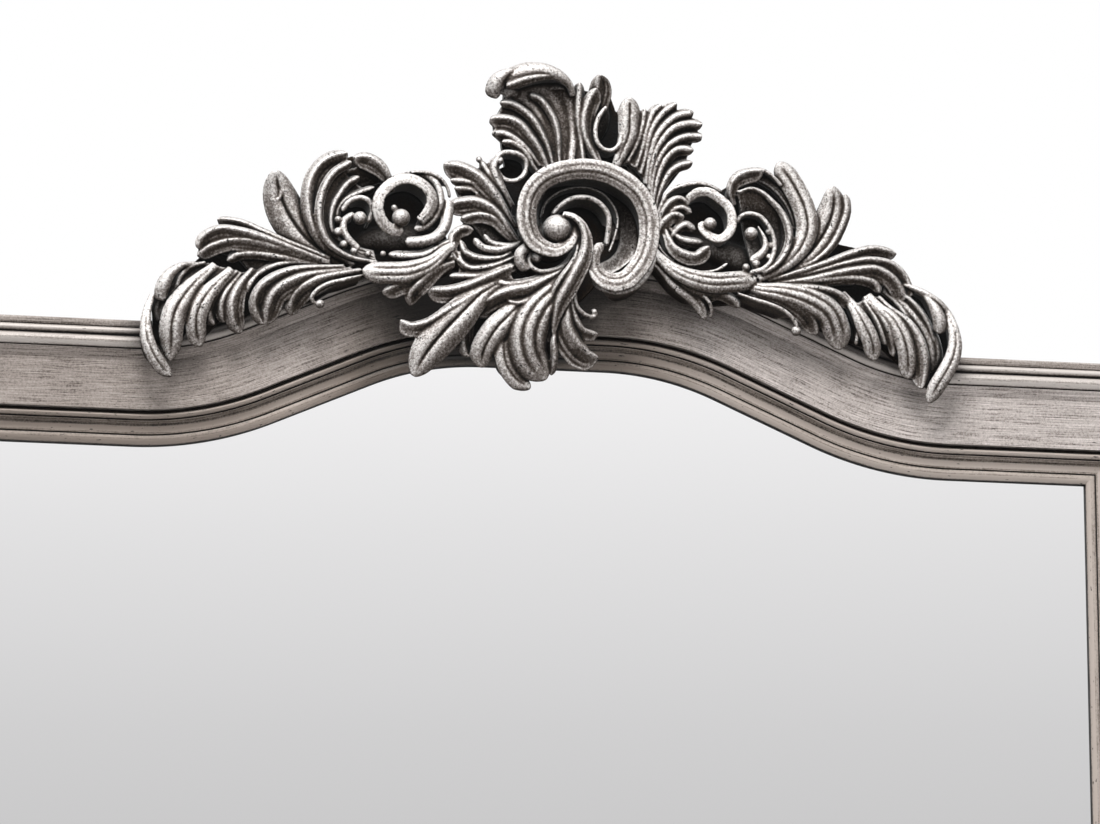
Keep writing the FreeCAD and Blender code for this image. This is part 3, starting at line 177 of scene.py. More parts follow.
def crown_band(u, t):
    """Broad flat band that falls away on its outer side behind a thin groove."""
    face = 1 - 0.35 * np.clip(-0.55 - u, 0, 1) ** 1.5 - 0.75 * np.clip((u - 0.05) / 0.95, 0, 1) ** 1.3
    groove = hump(u, 0.30, 0.07, 0.20) + hump(u, -0.35, 0.06, 0.05)
    return face - groove + 0 * t


# Form: crown, its height as a share of the half width, how the width runs along it, and how far
# its flanks run on past the ridge that was measured
FORMS = {
    "leaf": (crown_leaf, 0.78, "leaf", 1.28),
    "midrib": (crown_midrib, 0.50, "leaf", 1.06),
    "blade": (crown_midrib, 0.50, "blade", 1.1),
    "stem": (crown_leaf, 0.70, "stem", 1.2),
    "claw": (crown_midrib, 0.55, "claw", 1.05),
    "rib": (crown_rib, 0.95, "leaf", 1.42),
    "fill": (crown_fill, 0.40, "leaf", 1.0),
    "vein3": (crown_flutes(3), 0.50, "leaf", 1.1),
    "cord": (crown_fill, 0.9, "cord", 1.0),
    "band": (crown_band, 0.6, "band", 1.0),
    "scroll": (crown_band, 0.6, "scroll", 1.0),
    "ring": (crown_fill, 0.8, "band", 1.0),
    "roll": (crown_fill, 0.75, "roll", 1.0),
}
# Base width share, share of the length over which it swells, tip rounding per full width, the
# share of the width that is left at the tip, and where along the length that taper starts
RUNS = {
    "leaf": (0.42, 0.62, 0.72, 1, 0.5),
    "blade": (0.36, 0.6, 1.3, 1, 0.5),
    "stem": (0.35, 0.55, 0.7, 0.3, 0.65),
    "cord": (0.55, 0.3, 0.5, 1, 0.5),
    "band": (0.85, 0.1, 0.4, 1, 0.5),
    "scroll": (0.30, 0.22, 0.4, 0.5, 0.86),
    "roll": (0.26, 0.8, 0.5, 1, 0.5),
    "claw": (0.45, 0.7, 1.2, 1, 0.5),
}
RIDGE_SHIFT = 0.16
LIGHT_SIDE = np.array([-0.35, 0.0, 1.0])
STATION_STEP = 1.2 * MM
STATION_RANGE = (16, 160)
LOBE_ACROSS = 19
# Places under a lobe, as shares of its half width outward and of its full width down
LIP_OUT = 0.97
WAIST_OUT, WAIST_DOWN = 0.55, 0.3
FOOT_OUT, FOOT_DOWN = 0.42, 0.45
LIP_EDGE = 0.8 * MM
# Shares of the length over which a lobe's foot leaves the ground, and over which flutes run out
FOOT_LIFTS = (0.62, 0.86)
FLUTE_FADE = (0.7, 1.0)
WEB_STATIONS = 40
WEB_THICKNESS = 5 * MM
WEB_SINK = 0.4 * MM
WEB_BASE_SHARE = 0.45
WEB_END_SHARE = 0.9
WEB_ACROSS = 9
WEB_SAG = 0.16
SHEET_ACROSS = 48
BALL_SIDES = 24
BALL_RINGS = 15
STALK_SHARE = 0.5


def width_along(kind, t, length, full):
    base, swell, rounding, tip, taper = RUNS[kind]
    wide = base + (1 - base) * smoothstep(0, swell, t)
    wide = wide * (1 - (1 - tip) * smoothstep(taper, 1, t))
    reach = min(rounding * full, 0.4 * length)
    past = np.clip(1 - (1 - t) * length / reach, 0, 1)
    return wide * np.sqrt(np.clip(1 - past**2, 0.02, 1))


def ring_faces(count, around):
    """Quads between neighbouring closed rows of points."""
    faces = []
    for i in range(count - 1):
        for j in range(around):
            k = (j + 1) % around
            faces.append((i * around + j, i * around + k, (i + 1) * around + k, (i + 1) * around + j))
    return faces


def linked(name, data):
    """New object of the scene."""
    piece = bpy.data.objects.new(name, data)
    bpy.context.collection.objects.link(piece)
    return piece


def dress(mesh, look):
    mesh.materials.clear()
    mesh.materials.append(look)


class Carving:
    """Closed shapes of one casting, gathered before they are merged into one skin."""

    def __init__(self):
        self.points = []
        self.faces = []
        self.total = 0

    def add(self, points, faces):
        self.points.append(np.asarray(points, float))
        self.faces += [tuple(i + self.total for i in face) for face in faces]
        self.total += len(points)

    def tube(self, rows, ends=None):
        """Closed skin through equal closed rows of points, drawn together at each end."""
        count, around = rows.shape[:2]
        faces = ring_faces(count, around)
        points = rows.reshape(-1, 3)
        if ends is None:
            ends = np.stack([rows[0].mean(0), rows[-1].mean(0)])
        first, last = len(points), len(points) + 1
        for j in range(around):
            k = (j + 1) % around
            faces += [(k, j, first), ((count - 1) * around + j, (count - 1) * around + k, last)]
        self.add(np.vstack([points, ends]), faces)

    def lobe(self, form, width, shares, pixels):
        crown, height, kind, grow = FORMS[form]
        control = ridge_points(shares, pixels)
        full = width * grow * PIXEL
        rough_length = np.linalg.norm(np.diff(control, axis=0), axis=1).sum()
        count = int(np.clip(rough_length / STATION_STEP, *STATION_RANGE))
        line, length = spline(control, count)
        t = np.linspace(0, 1, count)
        across, up = facing(line)
        if kind == "leaf" and across[count // 2] @ LIGHT_SIDE < 0:
            across = -across
        half = full / 2 * width_along(kind, t, length, full)
        if crown is crown_leaf:
            line = line - across * (RIDGE_SHIFT * half)[:, None]
        u = np.linspace(-1, 1, LOBE_ACROSS)
        top = crown(u[None, :], t[:, None])
        rise = (top - top.max()) * height * half[:, None]
        rows = line[:, None] + across[:, None] * (u[None, :, None] * half[:, None, None])
        rows = rows + up[:, None] * rise[..., None]
        edge = np.minimum(0.4 * half, LIP_EDGE)
        sink = (1 - smoothstep(*FOOT_LIFTS, t))[:, None]
        ground = BACK_Y - CREST_BACK

        def beside(out, climb):
            return line + across * out[:, None] + up * climb[:, None]

        under = []
        for side, end in ((1, -1), (-1, 0)):
            lip = beside(side * half * LIP_OUT, rise[:, end] - edge)
            waist = beside(side * half * WAIST_OUT, -(height * half + WAIST_DOWN * full))
            foot = beside(side * half * FOOT_OUT, -(height * half + FOOT_DOWN * full))
            foot[:, 1] = np.maximum(foot[:, 1], (foot[:, 1:2] + (ground - foot[:, 1:2]) * sink)[:, 0])
            under += [lip, waist, foot][::side]
        self.tube(np.concatenate([rows] + [row[:, None] for row in under], 1))

    def web(self, first, second, reach):
        """Thin floor between two neighbouring lobes, from their bases to a share of their length."""
        edges = []
        sinks = []
        for form, width, shares, pixels in (first, second):
            line, _ = spline(ridge_points(shares, pixels), WEB_STATIONS)
            t = np.linspace(0, reach, WEB_STATIONS)
            whole = np.linspace(0, 1, WEB_STATIONS)
            edges.append(np.stack([np.interp(t, whole, line[:, k]) for k in range(3)], 1))
            crown, height, kind, grow = FORMS[form]
            deep = height * grow * width * PIXEL / 2 * width_along(kind, t, 1.0, 0.01)
            sinks.append(deep * (WEB_BASE_SHARE + (WEB_END_SHARE - WEB_BASE_SHARE) * t / reach) + WEB_SINK)
        v = np.linspace(0, 1, WEB_ACROSS)[None, :, None]
        top = edges[0][:, None] * (1 - v) + edges[1][:, None] * v
        sink = sinks[0][:, None] * (1 - v[..., 0]) + sinks[1][:, None] * v[..., 0]
        spread = np.linalg.norm(edges[0] - edges[1], axis=1)[:, None]
        sink = sink + WEB_SAG * spread * np.sin(np.pi * v[..., 0])
        top[..., 1] += sink
        self.slab(top)

    def slab(self, top):
        """Closed plate of even thickness behind a surface."""
        low = top[:, ::-1].copy()
        low[..., 1] += WEB_THICKNESS
        self.tube(np.concatenate([top, low], 1))

    def sheet(self, flutes, depth, curves):
        """Fluted surface through several curves, each from base to rim."""
        rows = np.stack([spline(ridge_points(*curve), WEB_STATIONS)[0] for curve in curves])
        top = np.stack([spline(rows[:, i], SHEET_ACROSS)[0] for i in range(WEB_STATIONS)])
        v = np.linspace(0, 1, SHEET_ACROSS)[None, :]
        fade = 1 - smoothstep(*FLUTE_FADE, np.linspace(0, 1, WEB_STATIONS))[:, None]
        top[..., 1] += depth * MM * np.abs(np.cos(np.pi * flutes * v)) ** 3 * fade
        self.slab(top)

    def ball(self, radius, pixel, share):
        r = radius * PIXEL
        top = relief_at(share)
        centre = seen_at(pixel, top - r)
        turns = np.linspace(0, 2 * math.pi, BALL_SIDES, endpoint=False)
        circle = np.stack([np.cos(turns), 0 * turns, np.sin(turns)], 1)
        climbs = np.linspace(math.pi, 0, BALL_RINGS)[1:-1]
        rows = np.array([centre + r * (math.sin(a) * circle - [0, math.cos(a), 0]) for a in climbs])
        self.tube(rows, centre + np.array([[0, r, 0], [0, -r, 0]]))
        stalk = STALK_SHARE * r * circle
        self.tube(np.array([seen_at(pixel, CREST_BACK) + stalk, centre + stalk]))

    def plate(self, pixels, share):
        relief = relief_at(share)
        front = np.array([seen_at(p, relief) for p in pixels])
        back = front.copy()
        back[:, 1] = BACK_Y - CREST_BACK
        count = len(pixels)
        faces = [tuple(range(count)), tuple(reversed(range(count, 2 * count)))]
        faces += [(i, i + count, (i + 1) % count + count, (i + 1) % count) for i in range(count)]
        self.add(np.vstack([front, back]), faces)

    def block(self, low, high):
        x0, y0, z0 = low
        x1, y1, z1 = high
        points = [(x, y, z) for x in (x0, x1) for y in (y0, y1) for z in (z0, z1)]
        faces = [(0, 1, 3, 2), (4, 6, 7, 5), (0, 4, 5, 1), (2, 3, 7, 6), (0, 2, 6, 4), (1, 5, 7, 3)]
        self.add(points, faces)

    def mesh(self, name):
        data = bpy.data.meshes.new(name)
        data.from_pydata(np.vstack(self.points).tolist(), [], self.faces)
        data.validate()
        return linked(name, data)


def ridge_points(shares, pixels):
    """Places along a ridge, its relief a parabola through three shares."""
    gaps = [0.0] + [math.dist(a, b) for a, b in zip(pixels, pixels[1:])]
    t = np.cumsum(gaps) / sum(gaps)
    base, middle, tip = shares
    ridge = base * (1 - t) * (1 - 2 * t) + 4 * middle * t * (1 - t) + tip * t * (2 * t - 1)
    return np.array([seen_at(p, relief_at(r)) for p, r in zip(pixels, ridge)])


def facing(line):
    """Directions across a ridge and away from the ground, at each station."""
    along = unit(np.gradient(line, axis=0))
    toward = np.array([0.0, -1.0, 0.0])
    across = unit(np.cross(along, toward))
    up = unit(np.cross(across, along))
    return across, up * np.where(up @ toward < 0, -1, 1)[:, None]


# The carving, a line for each thing; an indented line goes on from the one above it. "web" opens a
# group of lobes and says how far up a thin floor joins them, as a share of their length. A lobe has
# its form, its width in pixels, the relief of its ridge at the base, middle and tip as shares of the
# crest's relief, and the ridge as x,y pixels. A ball has its radius in pixels, its share of relief
# and its place. "ground" is the outline of the plate behind. "sheet" opens a fluted floor, with its
# number of flutes and their depth in millimetres, and a "curve" of it has the shares and pixels of
# a ridge.
LEFT_SPRAY = """
ground 152,300 166,282 192,264 215,243 262,240 306,246 318,215 320,182 334,162 352,156 374,162 392,180
  402,178 430,183 446,202 446,236 456,262 420,280 396,286 372,274 345,282 315,300 295,306 284,300 268,316
  256,300 243,322 228,312 205,336 190,326 178,346 168,352 153,338
web 0
claw 15 .38 .52 .36 153,294 147.5,309 146,323 147.5,337 152,350 159,362 172,377
roll 15 .40 .56 .46 196,262 181,265 170,273 164,283 162,292 164,301
rib 7 .36 .44 .34 206,262 191,266 181,275 177,286 172,298
vein3 24 .30 .40 .26 212,266 193,276 178,288 166,304 158,322
web .4
blade 23 .34 .54 .34 216,264 198,279 185,294 176,309 172,325 171.5,342 170,361
midrib 20 .36 .52 .32 232,268 206,295 197,315 197,332 201,347
rib 9 .32 .44 .30 238,270 217,292 209,307 210,317 215,325
rib 8 .32 .42 .28 242,272 228,289 222,302 222,314 225,323
leaf 16 .36 .48 .30 254,268 240,286 234,303 235,318 241,334
rib 8 .34 .42 .30 262,270 250,284 246,300
web .88
leaf 10 .45 .48 .30 330,258 310,250 285,241 262,231 240,222 217,219
leaf 12 .45 .56 .36 330,262 300,251 262,237 240,231 220,229 205,236 197,248
leaf 12 .45 .52 .30 330,264 275,247 250,241 230,241 211,247 197,256
rib 8 .42 .48 .32 330,266 280,256 255,252.5 238,254 227,261
rib 7 .42 .46 .32 335,266 290,262 270,267 258,274 247,281
web .62
leaf 13 .50 .60 .36 345,266 290,271 264,285 256,303 264,325
leaf 16 .50 .64 .36 352,269 300,278 277,292 270,308 266,325
leaf 17 .52 .64 .36 362,270 318,280 300,291 293,303 291,316
web 0
cord 4.5 .55 .64 .55 362,275 345,279 329,283 318,289 312,297 315,304
blade 37 .42 .46 .58 345,264 312,243 292,218 281,195 275,170
ring 3 .47 .51 .49 270,190 275,186 280,190 280,197 275,200 270,197
web .92
leaf 17 .48 .58 .62 355,264 325,243 313,220 310,197 315,175 328,160 348,153
rib 7 .52 .64 .64 378,262 350,256 330,243 321,225 320,205 325,186 335,171 352,161
rib 7 .46 .54 .54 350,246 335,236 331,222 334,204 341.5,191 349,182 360,176
rib 7 .44 .50 .50 346,236 338,222 338,210 345,200 358,193 375,187
web 0
leaf 15 .50 .64 .62 393,192 389,179 381,166 368,158 353,158
ring 6 .56 .62 .58 368,222 373,210 369,200 359.5,197 349,201.5 342,211
ring 7 .55 .60 .58 354,213 345,219.5 344,228.5 349,238 360,249
band 12 .66 .74 .64 420,221 428.5,211.5 432.5,202 431,193 424,184.5 412,178.5 400,179 390,184 381,194
  378,205 380,216 386,225 394,230 404,230
ring 8.5 .56 .64 .56 412,173 422,173.5 431,177 438,186 441,198 439,209 433,219 425,226 414,229
ring 12 .60 .68 .60 449,200 448,214 445,226 437,235.5 424,240 405,241
cord 3.5 .60 .64 .58 393,176 408,172.5 420,171.5 432,173 442,179 448,188.5 450,198
web .8
rib 10 .55 .62 .54 458,236 445,243 425,254 405,255.5 388,254
vein3 21 .60 .76 .56 458,244 447,249 432,262 410,270 385,271 362,270
leaf 13 .58 .70 .54 454,256 440,262 420,277 400,285 382,293
leaf 14 .58 .72 .50 456,262 440,268 422,282 413,293 410,306
web 0
fill 34 .14 .22 .18 340,262 372,240 400,238 440,236
ball 6.8 .66 360,218
ball 9.2 .78 401,218
ball 3.4 .70 394,208
ball 4.6 .58 320,304
ball 3.6 .60 338,219.5
ball 4.6 .60 338,232
ball 4.2 .58 343.5,244.5
ball 3.8 .58 354,251
ball 3.2 .58 368,254
ball 3.2 .58 383,254
sheet 4 1.1
curve .46 .52 .50 378,264 350,256 331,242 323,223 323,203 330,185 345,170 366,166
curve .36 .40 .40 376,258 352,250 336,237 330,221 331,205 339,191 352,180 372,174
curve .26 .30 .32 374,250 354,244 343,233 339,220 341,207 349,197 360,190 380,182
"""
CARTOUCHE = """
ground 456,188 505,166 522,188 534,170 562,160 600,161 640,182 657,216 654,262 630,286 598,284 576,306
  568,334 546,362 530,374 505,362 484,354 468,345 430,352 450,308 436,290 470,272 455,250 466,214
ground 508,186 502,150 498,112 510,92 545,84 572,98 582,90 610,95 616,112 632,106 648,114 680,112 696,126
  690,150 684,166 664,192 656,218 600,190 560,190
web .88
rib 9 .52 .62 .60 514,206 507,195 500,183 494,168 498,156
rib 7 .52 .60 .56 512,208 505,194 492,177 481,160
leaf 18 .55 .68 .52 516,228 508,215 495,195 480,178 462,168 443,164
rib 7 .50 .60 .50 512,222 503,208 490.5,194 478,184 461,180 450,180
rib 7 .50 .58 .48 514,228 506,217.5 495,205 483,192 468.5,188 454,188
leaf 16 .55 .66 .50 520,244 510,230 495,211 478,202 461,203 446,207
leaf 10 .52 .62 .52 518,246 506,232 495,219 483,215 468.5,217 460,220
web 0
ring 8 .56 .62 .58 526,243 516,245 500,249 484,247 474,238
rib 5 .58 .60 .58 524,240 514,244 492,242 484,234
leaf 10 .56 .62 .58 464,262 456,257 452.5,246 455,234 464,228.5 474,230
web .85
rib 7 .58 .60 .56 512,252 500,257 478,257 465,250.5 461,240
rib 6 .60 .62 .56 516,256 500,263 484,267 470,267 461,260 459,251
rib 7 .62 .66 .56 512,264 500,268 484,275 464,275.6 449,275.6
web .55
leaf 15 .62 .72 .56 520,264 505,270 485,279 466,287 447,291 427,290
leaf 13 .60 .72 .52 510,276 485,289 470,298 448,311 428,323 411,326 399,320
blade 35 .60 .72 .46 512,276 483,292 462,312 443,332 427,352 413,376
web .4
leaf 14 .48 .50 .42 490,294 473,308 466,322 465,340 468,357
midrib 26 .60 .68 .42 536,290 512,312 495,330 484,350 481,368
midrib 18 .56 .58 .42 530,300 514,322 505,340 506,362 516,378 531,388
web .65
rib 10 .66 .72 .60 574,252 566,263 552,273 536,280 520,283.5 506,283.5 497,279 491,270
leaf 20 .66 .78 .60 577,252 572,262 560,273 545,281 530,288 510,292 490,301 474,313
leaf 12 .66 .76 .62 578,258 573,268 562,279 548,290 533,299 520,304 509,302 502,295
web 0
roll 13 .66 .78 .70 556,248 540,244 530,245 521,253 522,262 530,269
cord 5 .66 .74 .70 540,250 533,252 529.5,258 531,265 540,270.5 556,268.5 567,263 576,253
web .5
vein3 35 .74 .80 .50 574,268 564,281 553,293 539,309 530,330 531,352 546,380
rib 6 .60 .66 .44 560,320 554,339 555,353 554,365 551,376
web .65
leaf 22 .72 .72 .50 568,292 566,310 567,327 575,343 588,355 599,358
leaf 10 .72 .68 .52 572,285 571,298 574,315 583,330 599,335
cord 5 .74 .70 .56 577,276 575,292 577,305 584,313 592,316.5 598,313
web .8
stem 15 .94 .98 .66 563,213.5 572,215.5 580,221 585.5,231 587,243 584,257 577,271 569,286 561,301 556,318
  553,337
rib 5 .84 .90 .72 578,240 577,252 571,264 562,277 553,292 546,308
web 0
scroll 21 .84 .96 .80 563,215 571,219 575,228 573,238 566,246 556,249.5 545,247 536,241 530,231 527,216
  529,200 536,186 548,176 565,170 585,168 605,171 624,180 640,194 648,211 650,230 647,250 639,266 626,279
  611,281 598,273 594,260 598,249 604,243
ring 6 .66 .70 .62 553,214 560,206 570,199 581,196.5 593,198.5 603,205.5 609,216 609,229 606,246
ring 3 .46 .50 .56 542,216 546,203 556,194 570,188.5 588,188 603,194 613,205 618,219 615,236 609,252
fill 13 .60 .66 .48 656,256 648,272 635,284 618,288 602,284 592,274
fill 34 .20 .22 .20 545,214 560,200 585,196 610,210 618,240
fill 60 .34 .42 .36 470,205 510,235 545,255 560,285
web 0
roll 24 .56 .74 .66 574,96 570,84 561,75 547,70 532,70 517,75 505,82
roll 19 .64 .72 .58 520,69 507,72 499,78 495.5,88 496.5,99
fill 18 .40 .50 .46 520,96 512,90 505,88 498,92
rib 7 .62 .78 .74 562,78 547,75.5 532,77 518,81 506,86
web .95
rib 9 .44 .46 .52 584,166 581,136 579,118 579,99 580,82
rib 6 .44 .50 .50 560,165 558,132 554,118 547,106 540,98 530,94
rib 7 .44 .50 .50 553,164 549,148.5 541,131 532,117 521.5,108 511,102.6 500,102
leaf 14 .44 .50 .50 548,168 539,148.5 529,135 519,124 508.6,119.5 490,119
rib 8 .42 .48 .46 540,166 534,157 525,146 515,138 504,132.5 492,133
rib 7 .42 .48 .46 538,172 533,164 528.5,155 521,147 511,141.5 502,141.5
web 0
ring 6 .44 .50 .46 527,168 526,159 521,154.5 513,152 503,152.5 497,158 498,171 505,179 515,180.5 523,176
  527,168
web 0
leaf 14 .46 .50 .58 602,168 594,152 587,136 586,118 591,101 597,88
leaf 19 .42 .46 .58 590,132 592,116 597,101 600,88 600,75
ring 5 .50 .52 .50 607,106 600,115 596,127 597,140 603,148 611,150 618,146 621.5,136 622,123 619,109
web .93
midrib 22 .46 .54 .58 616,166 623,149 629,134 630,117 630,97
rib 7 .44 .50 .52 628,162 638,142 643,125 645,108
rib 8 .44 .52 .56 636,168 643,148 646,135 650,121 654,111 662,104.5
rib 9 .46 .54 .58 641,174 647,151.5 650,136 656,122 665,111 677,103
rib 10 .46 .56 .60 646,184 650,158 657,136 667,123 678.5,115 694,112
rib 10.5 .46 .56 .60 649,190 652,166 659,145 673,128 688,123 703,124
rib 9 .46 .54 .56 651,196 655,170 663,152 674,141 688,135.5 704,136
rib 9.5 .45 .52 .54 653,204 657,182 662,166 670,154 680,148 694,150
rib 8 .42 .48 .50 656,208 660,192 670,172 680,165 693,162
web 0
fill 46 .28 .30 .28 560,165 575,140 590,115 600,95
fill 50 .28 .30 .28 640,195 645,170 660,145 675,125
ball 15 .99 557,229.6
ball 3.2 .58 479,159.5
ball 4.6 .60 499,161
ball 3.4 .60 594,312
ball 5 .78 536.5,258
sheet 1 0
curve .38 .38 .30 537,226 536,210 540,199 550,188 565,180 581,176 599,178 615,186 629,197 637,210 641,225
  641,242 635,257 622,268 608,277
curve .25 .27 .25 541,226 541,212 546,202 555,193 568,186 582,183 598,185 611,193 621,203 628,214 631,226
  631,240 627,253 616,264 602,271
curve .19 .21 .22 547,226 548,215 553,207 561,200 571,194 583,192 595,194 605,201 612,210 617,219 620,229
  620,240 617,250 610,258 598,264
sheet 4 1
curve .40 .38 .40 546,170 543,142 529,113 506,94
curve .42 .42 .44 553,168 552,134 545,106 530,86
curve .42 .36 .40 562,168 563,134 561,106 553,84
curve .42 .42 .46 574,168 577,134 577,110 573,90
"""
RIGHT_SPRAY = """
ground 660,204 690,187 720,191 738,180 764,177 786,186 806,214 818,226 836,200 844,214 838,244 880,253
  895,264 915,292 935,306 949,326 954,350 944,372 928,388 914,362 904,368 880,345 866,346 838,338 815,326
  790,310 750,302 702,306 672,282 652,262 656,230
web 0
cord 5 .50 .58 .52 658,214 663,201 671,190 683.5,185 696,183 709,185 722,192
band 10 .58 .68 .62 688,199 698.5,192 710,192 720,198.5 729,207 732.5,219 730,231 721.5,238 712,236.5
  704,230 702,221
web .8
leaf 9 .50 .60 .56 660,226 662,215 670,203 679,198.5 690,204
rib 7 .50 .56 .54 662,230 667,219 674,209 684,207 692,213
leaf 10 .50 .60 .56 657,240 659,231 665,221.5 674,215 685,217
web 0
rib 8 .50 .58 .55 668,244 676.5,230 686,224 696,230
rib 8 .50 .56 .54 664,222 672,230 681,238 690,240.5 704,242
leaf 12 .52 .64 .60 664,226 668.5,237 674,247 685,254 697,256 710,246
cord 4 .46 .52 .50 659,244 663,251.5 673,261 688,270 702,272 717,270 728,263
web .8
vein3 20 .52 .70 .52 650,246 661.5,258 675,269 694,277 715,281 736.5,280 757,279
rib 9 .46 .58 .44 652,256 660,263 679,280 700,291 721.5,293 735,300 740,308
blade 13 .44 .54 .36 650,258 661,268 676,283 692,295 701,306 706,320
web 0
cord 4 .48 .54 .40 690,290 701,294 709,301 712,310 710,319
ring 5 .56 .60 .56 737,222 741,216 749,213 760,215.5 768,224 773.5,235 775,248 771,261 762,269 750,272
roll 9 .55 .60 .55 758,226 765,238 766,247 761,254 750,261
leaf 13 .50 .64 .64 734,206 731,194 733,184 740,176 750,172.5 764,171
cord 4 .60 .62 .60 752,168 762,169 772,175 782,186
web .75
rib 6.5 .56 .62 .56 738,192 751.5,188 762,191.5 772,200 781,210 788,224 790,238 786,252 777,264 762,273
midrib 23 .50 .60 .60 758,278 775,270 790,260 803,244 808,225 804,205 793,183 778,162
blade 31 .46 .50 .60 752,282 775,273 795,264 812,250 827,228 834,206 833,186
web 0
rib 8 .46 .54 .60 790,270 812,262 830,247 841,228 847,210 846,194
web .88
leaf 11 .48 .52 .36 768,281 795,273 830,262 855,253 875,249 897,254
leaf 10 .45 .50 .35 768,283 815,272 845,264 870,260 892,264 904,275 912,296
leaf 13 .45 .54 .36 768,284 805,280 836,274 858,270 877,269.5 893,279 906,299
rib 9 .45 .52 .38 768,285 815,280 845,277 863,278 876,283 880,293
web .6
leaf 11 .48 .58 .42 748,284 765,286 795,287 820,289 838,294 853,306
vein3 27 .48 .62 .36 745,284 760,288 785,291 812,299 830,311 838,328 840,350
leaf 16 .46 .60 .38 745,288 760,293 782,298 800,307 812,319 817,335
web 0
cord 4.5 .56 .60 .54 738,293 755,299 771,304 784,310 793,318 798,327
web .5
midrib 18 .38 .50 .33 842,292 856,309 865,325 872,341 875,361
cord 4.5 .36 .42 .36 848,304 855,317 858.5,328 856,345
rib 6 .36 .42 .34 864,300 872,312 878.5,323 883,335 886,345
rib 9 .36 .46 .32 864,296 886,322 892,335 895,347 893,357
midrib 18 .36 .50 .32 868,294 880,307 893,318 903,335 908,355 908,379
leaf 15 .34 .48 .32 878,296 890,308 908,322 920,342 924,362 922,389
web 0
vein3 24 .26 .36 .26 884,288 900,300 914,315 926,332 932,352 930,372
rib 6 .30 .40 .30 892,286 908,297 922,312 931,329 935,348
claw 17 .38 .54 .36 938,300 948,313 954,328 956,343 953,358 946,372 938,385 928,403
cord 7 .36 .50 .44 904,284 918,289 930,295 941,303 948,313
roll 15 .38 .54 .48 914,290 924,294 932,302 938,312 941,323 939,334
web 0
fill 34 .14 .22 .18 668,240 710,248 750,262 790,264
ball 6.6 .70 710,224
ball 6.8 .66 751,233.7
ball 5.2 .54 796,331
ball 4 .58 769,232.5
ball 4 .58 770.6,246
ball 3.6 .57 769,257
ball 4.4 .58 756,264
ball 4 .57 746,267.5
sheet 3 1.1
curve .46 .52 .52 760,272 776,262 785,246 785,226 777,209 763,196 736,194
curve .36 .42 .42 758,270 772,258 780,244 780,228 773,213 760,203 732,203
curve .26 .32 .34 754,268 767,256 774,243 774,230 768,218 756,210 730,211
curve .22 .24 .26 750,264 761,254 766,243 766,232 760,223 749,218 728,219
sheet 3 1.1
curve .44 .50 .48 764,276 782,264 797,246 801,226 795,204 781,184 764,173
curve .38 .44 .42 762,274 779,260 790,243 792,225 785,206 772,190 748,176
"""


GROUND_SHARE = 0.14
FOOT_HALF = 39 * MM
FOOT_HEIGHT = 66 * MM
FOOT_CLEARANCE = 0.3 * MM
FOOT_X = 0.046 * CREST_SPAN_MM * MM
SKIN_SIZE = 0.72 * MM
SOFTEN_SHARE = 0.5
SOFTEN_ROUNDS = 2
CAVITY_STEPS = (5, 40)
CAVITY_REACHES = (0.28 * MM, 1.7 * MM)
# Direction of the key lamp, up, left and forward: faces turned toward it are painted lighter, a painted
# highlight
PAINTED_LIGHT_SIDE = np.array([-0.25, -0.85, 0.45])
# Where the finish turns dull: normals that begin to face the wall, and points behind the ground
TURNED_BACK = (-0.05, 0.45)
PAST_GROUND = (0, 2 * MM)


def skin(piece, size):
    """Merges overlapping closed shapes into one smooth skin."""
    remesh = piece.modifiers.new("skin", "REMESH")
    remesh.mode = "VOXEL"
    remesh.voxel_size = size
    remesh.use_smooth_shade = True
    smooth = piece.modifiers.new("soften", "SMOOTH")
    smooth.factor = SOFTEN_SHARE
    smooth.iterations = SOFTEN_ROUNDS
    shaped = bpy.data.meshes.new_from_object(piece.evaluated_get(bpy.context.evaluated_depsgraph_get()))
    piece.modifiers.clear()
    rough = piece.data
    piece.data = shaped
    bpy.data.meshes.remove(rough)
    return shaped


def coordinates(mesh, kind="co"):
    flat = np.empty(len(mesh.vertices) * 3)
    mesh.vertices.foreach_get(kind, flat)
    return flat.reshape(-1, 3)


def keep_inside(mesh, node):
    """Holds every point inside the CAD casting's box."""
    low, high = (np.array(corner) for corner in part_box(node))
    mesh.vertices.foreach_set("co", np.clip(coordinates(mesh), low, high).ravel())
    mesh.update()


def average(values, ends, count):
    """Mean of each point's neighbours."""
    summed = np.empty_like(values)
    for k in range(values.shape[1]):
        summed[:, k] = np.bincount(ends[:, 0], values[ends[:, 1], k], len(values))
        summed[:, k] += np.bincount(ends[:, 1], values[ends[:, 0], k], len(values))
    return summed / count[:, None]


def mark(mesh, name, values):
    layer = mesh.attributes.new(name, "FLOAT", "POINT")
    layer.data.foreach_set("value", values.astype(np.float32))


def mark_cavities(mesh):
    """Stores how far each point stands above its smoothed surroundings, near and far."""
    points, normals = coordinates(mesh), coordinates(mesh, "normal")
    ends = np.empty(len(mesh.edges) * 2, int)
    mesh.edges.foreach_get("vertices", ends)
    ends = ends.reshape(-1, 2)
    count = np.bincount(ends.ravel(), minlength=len(points)).astype(float)
    smooth = points
    for step in range(1, CAVITY_STEPS[1] + 1):
        smooth = average(smooth, ends, count)
        if step in CAVITY_STEPS:
            scale = CAVITY_STEPS.index(step)
            height = np.einsum("ij,ij->i", points - smooth, normals)
            value = np.clip(0.5 + 0.5 * height / CAVITY_REACHES[scale], 0, 1)
            mark(mesh, ("near", "far")[scale], average(value[:, None], ends, count)[:, 0])
    # Painted light: how far each face turns toward the key lamp, which lightens the leaf colour
    painted_key_light = np.clip(normals @ unit(PAINTED_LIGHT_SIDE), 0, 1)
    mark(mesh, "painted_key_light", average(painted_key_light[:, None], ends, count)[:, 0])
    turned_back = smoothstep(*TURNED_BACK, normals[:, 1])
    past_ground = smoothstep(*PAST_GROUND, points[:, 1] - (BACK_Y - CREST_BACK))
    mark(mesh, "behind", np.maximum(turned_back, past_ground))


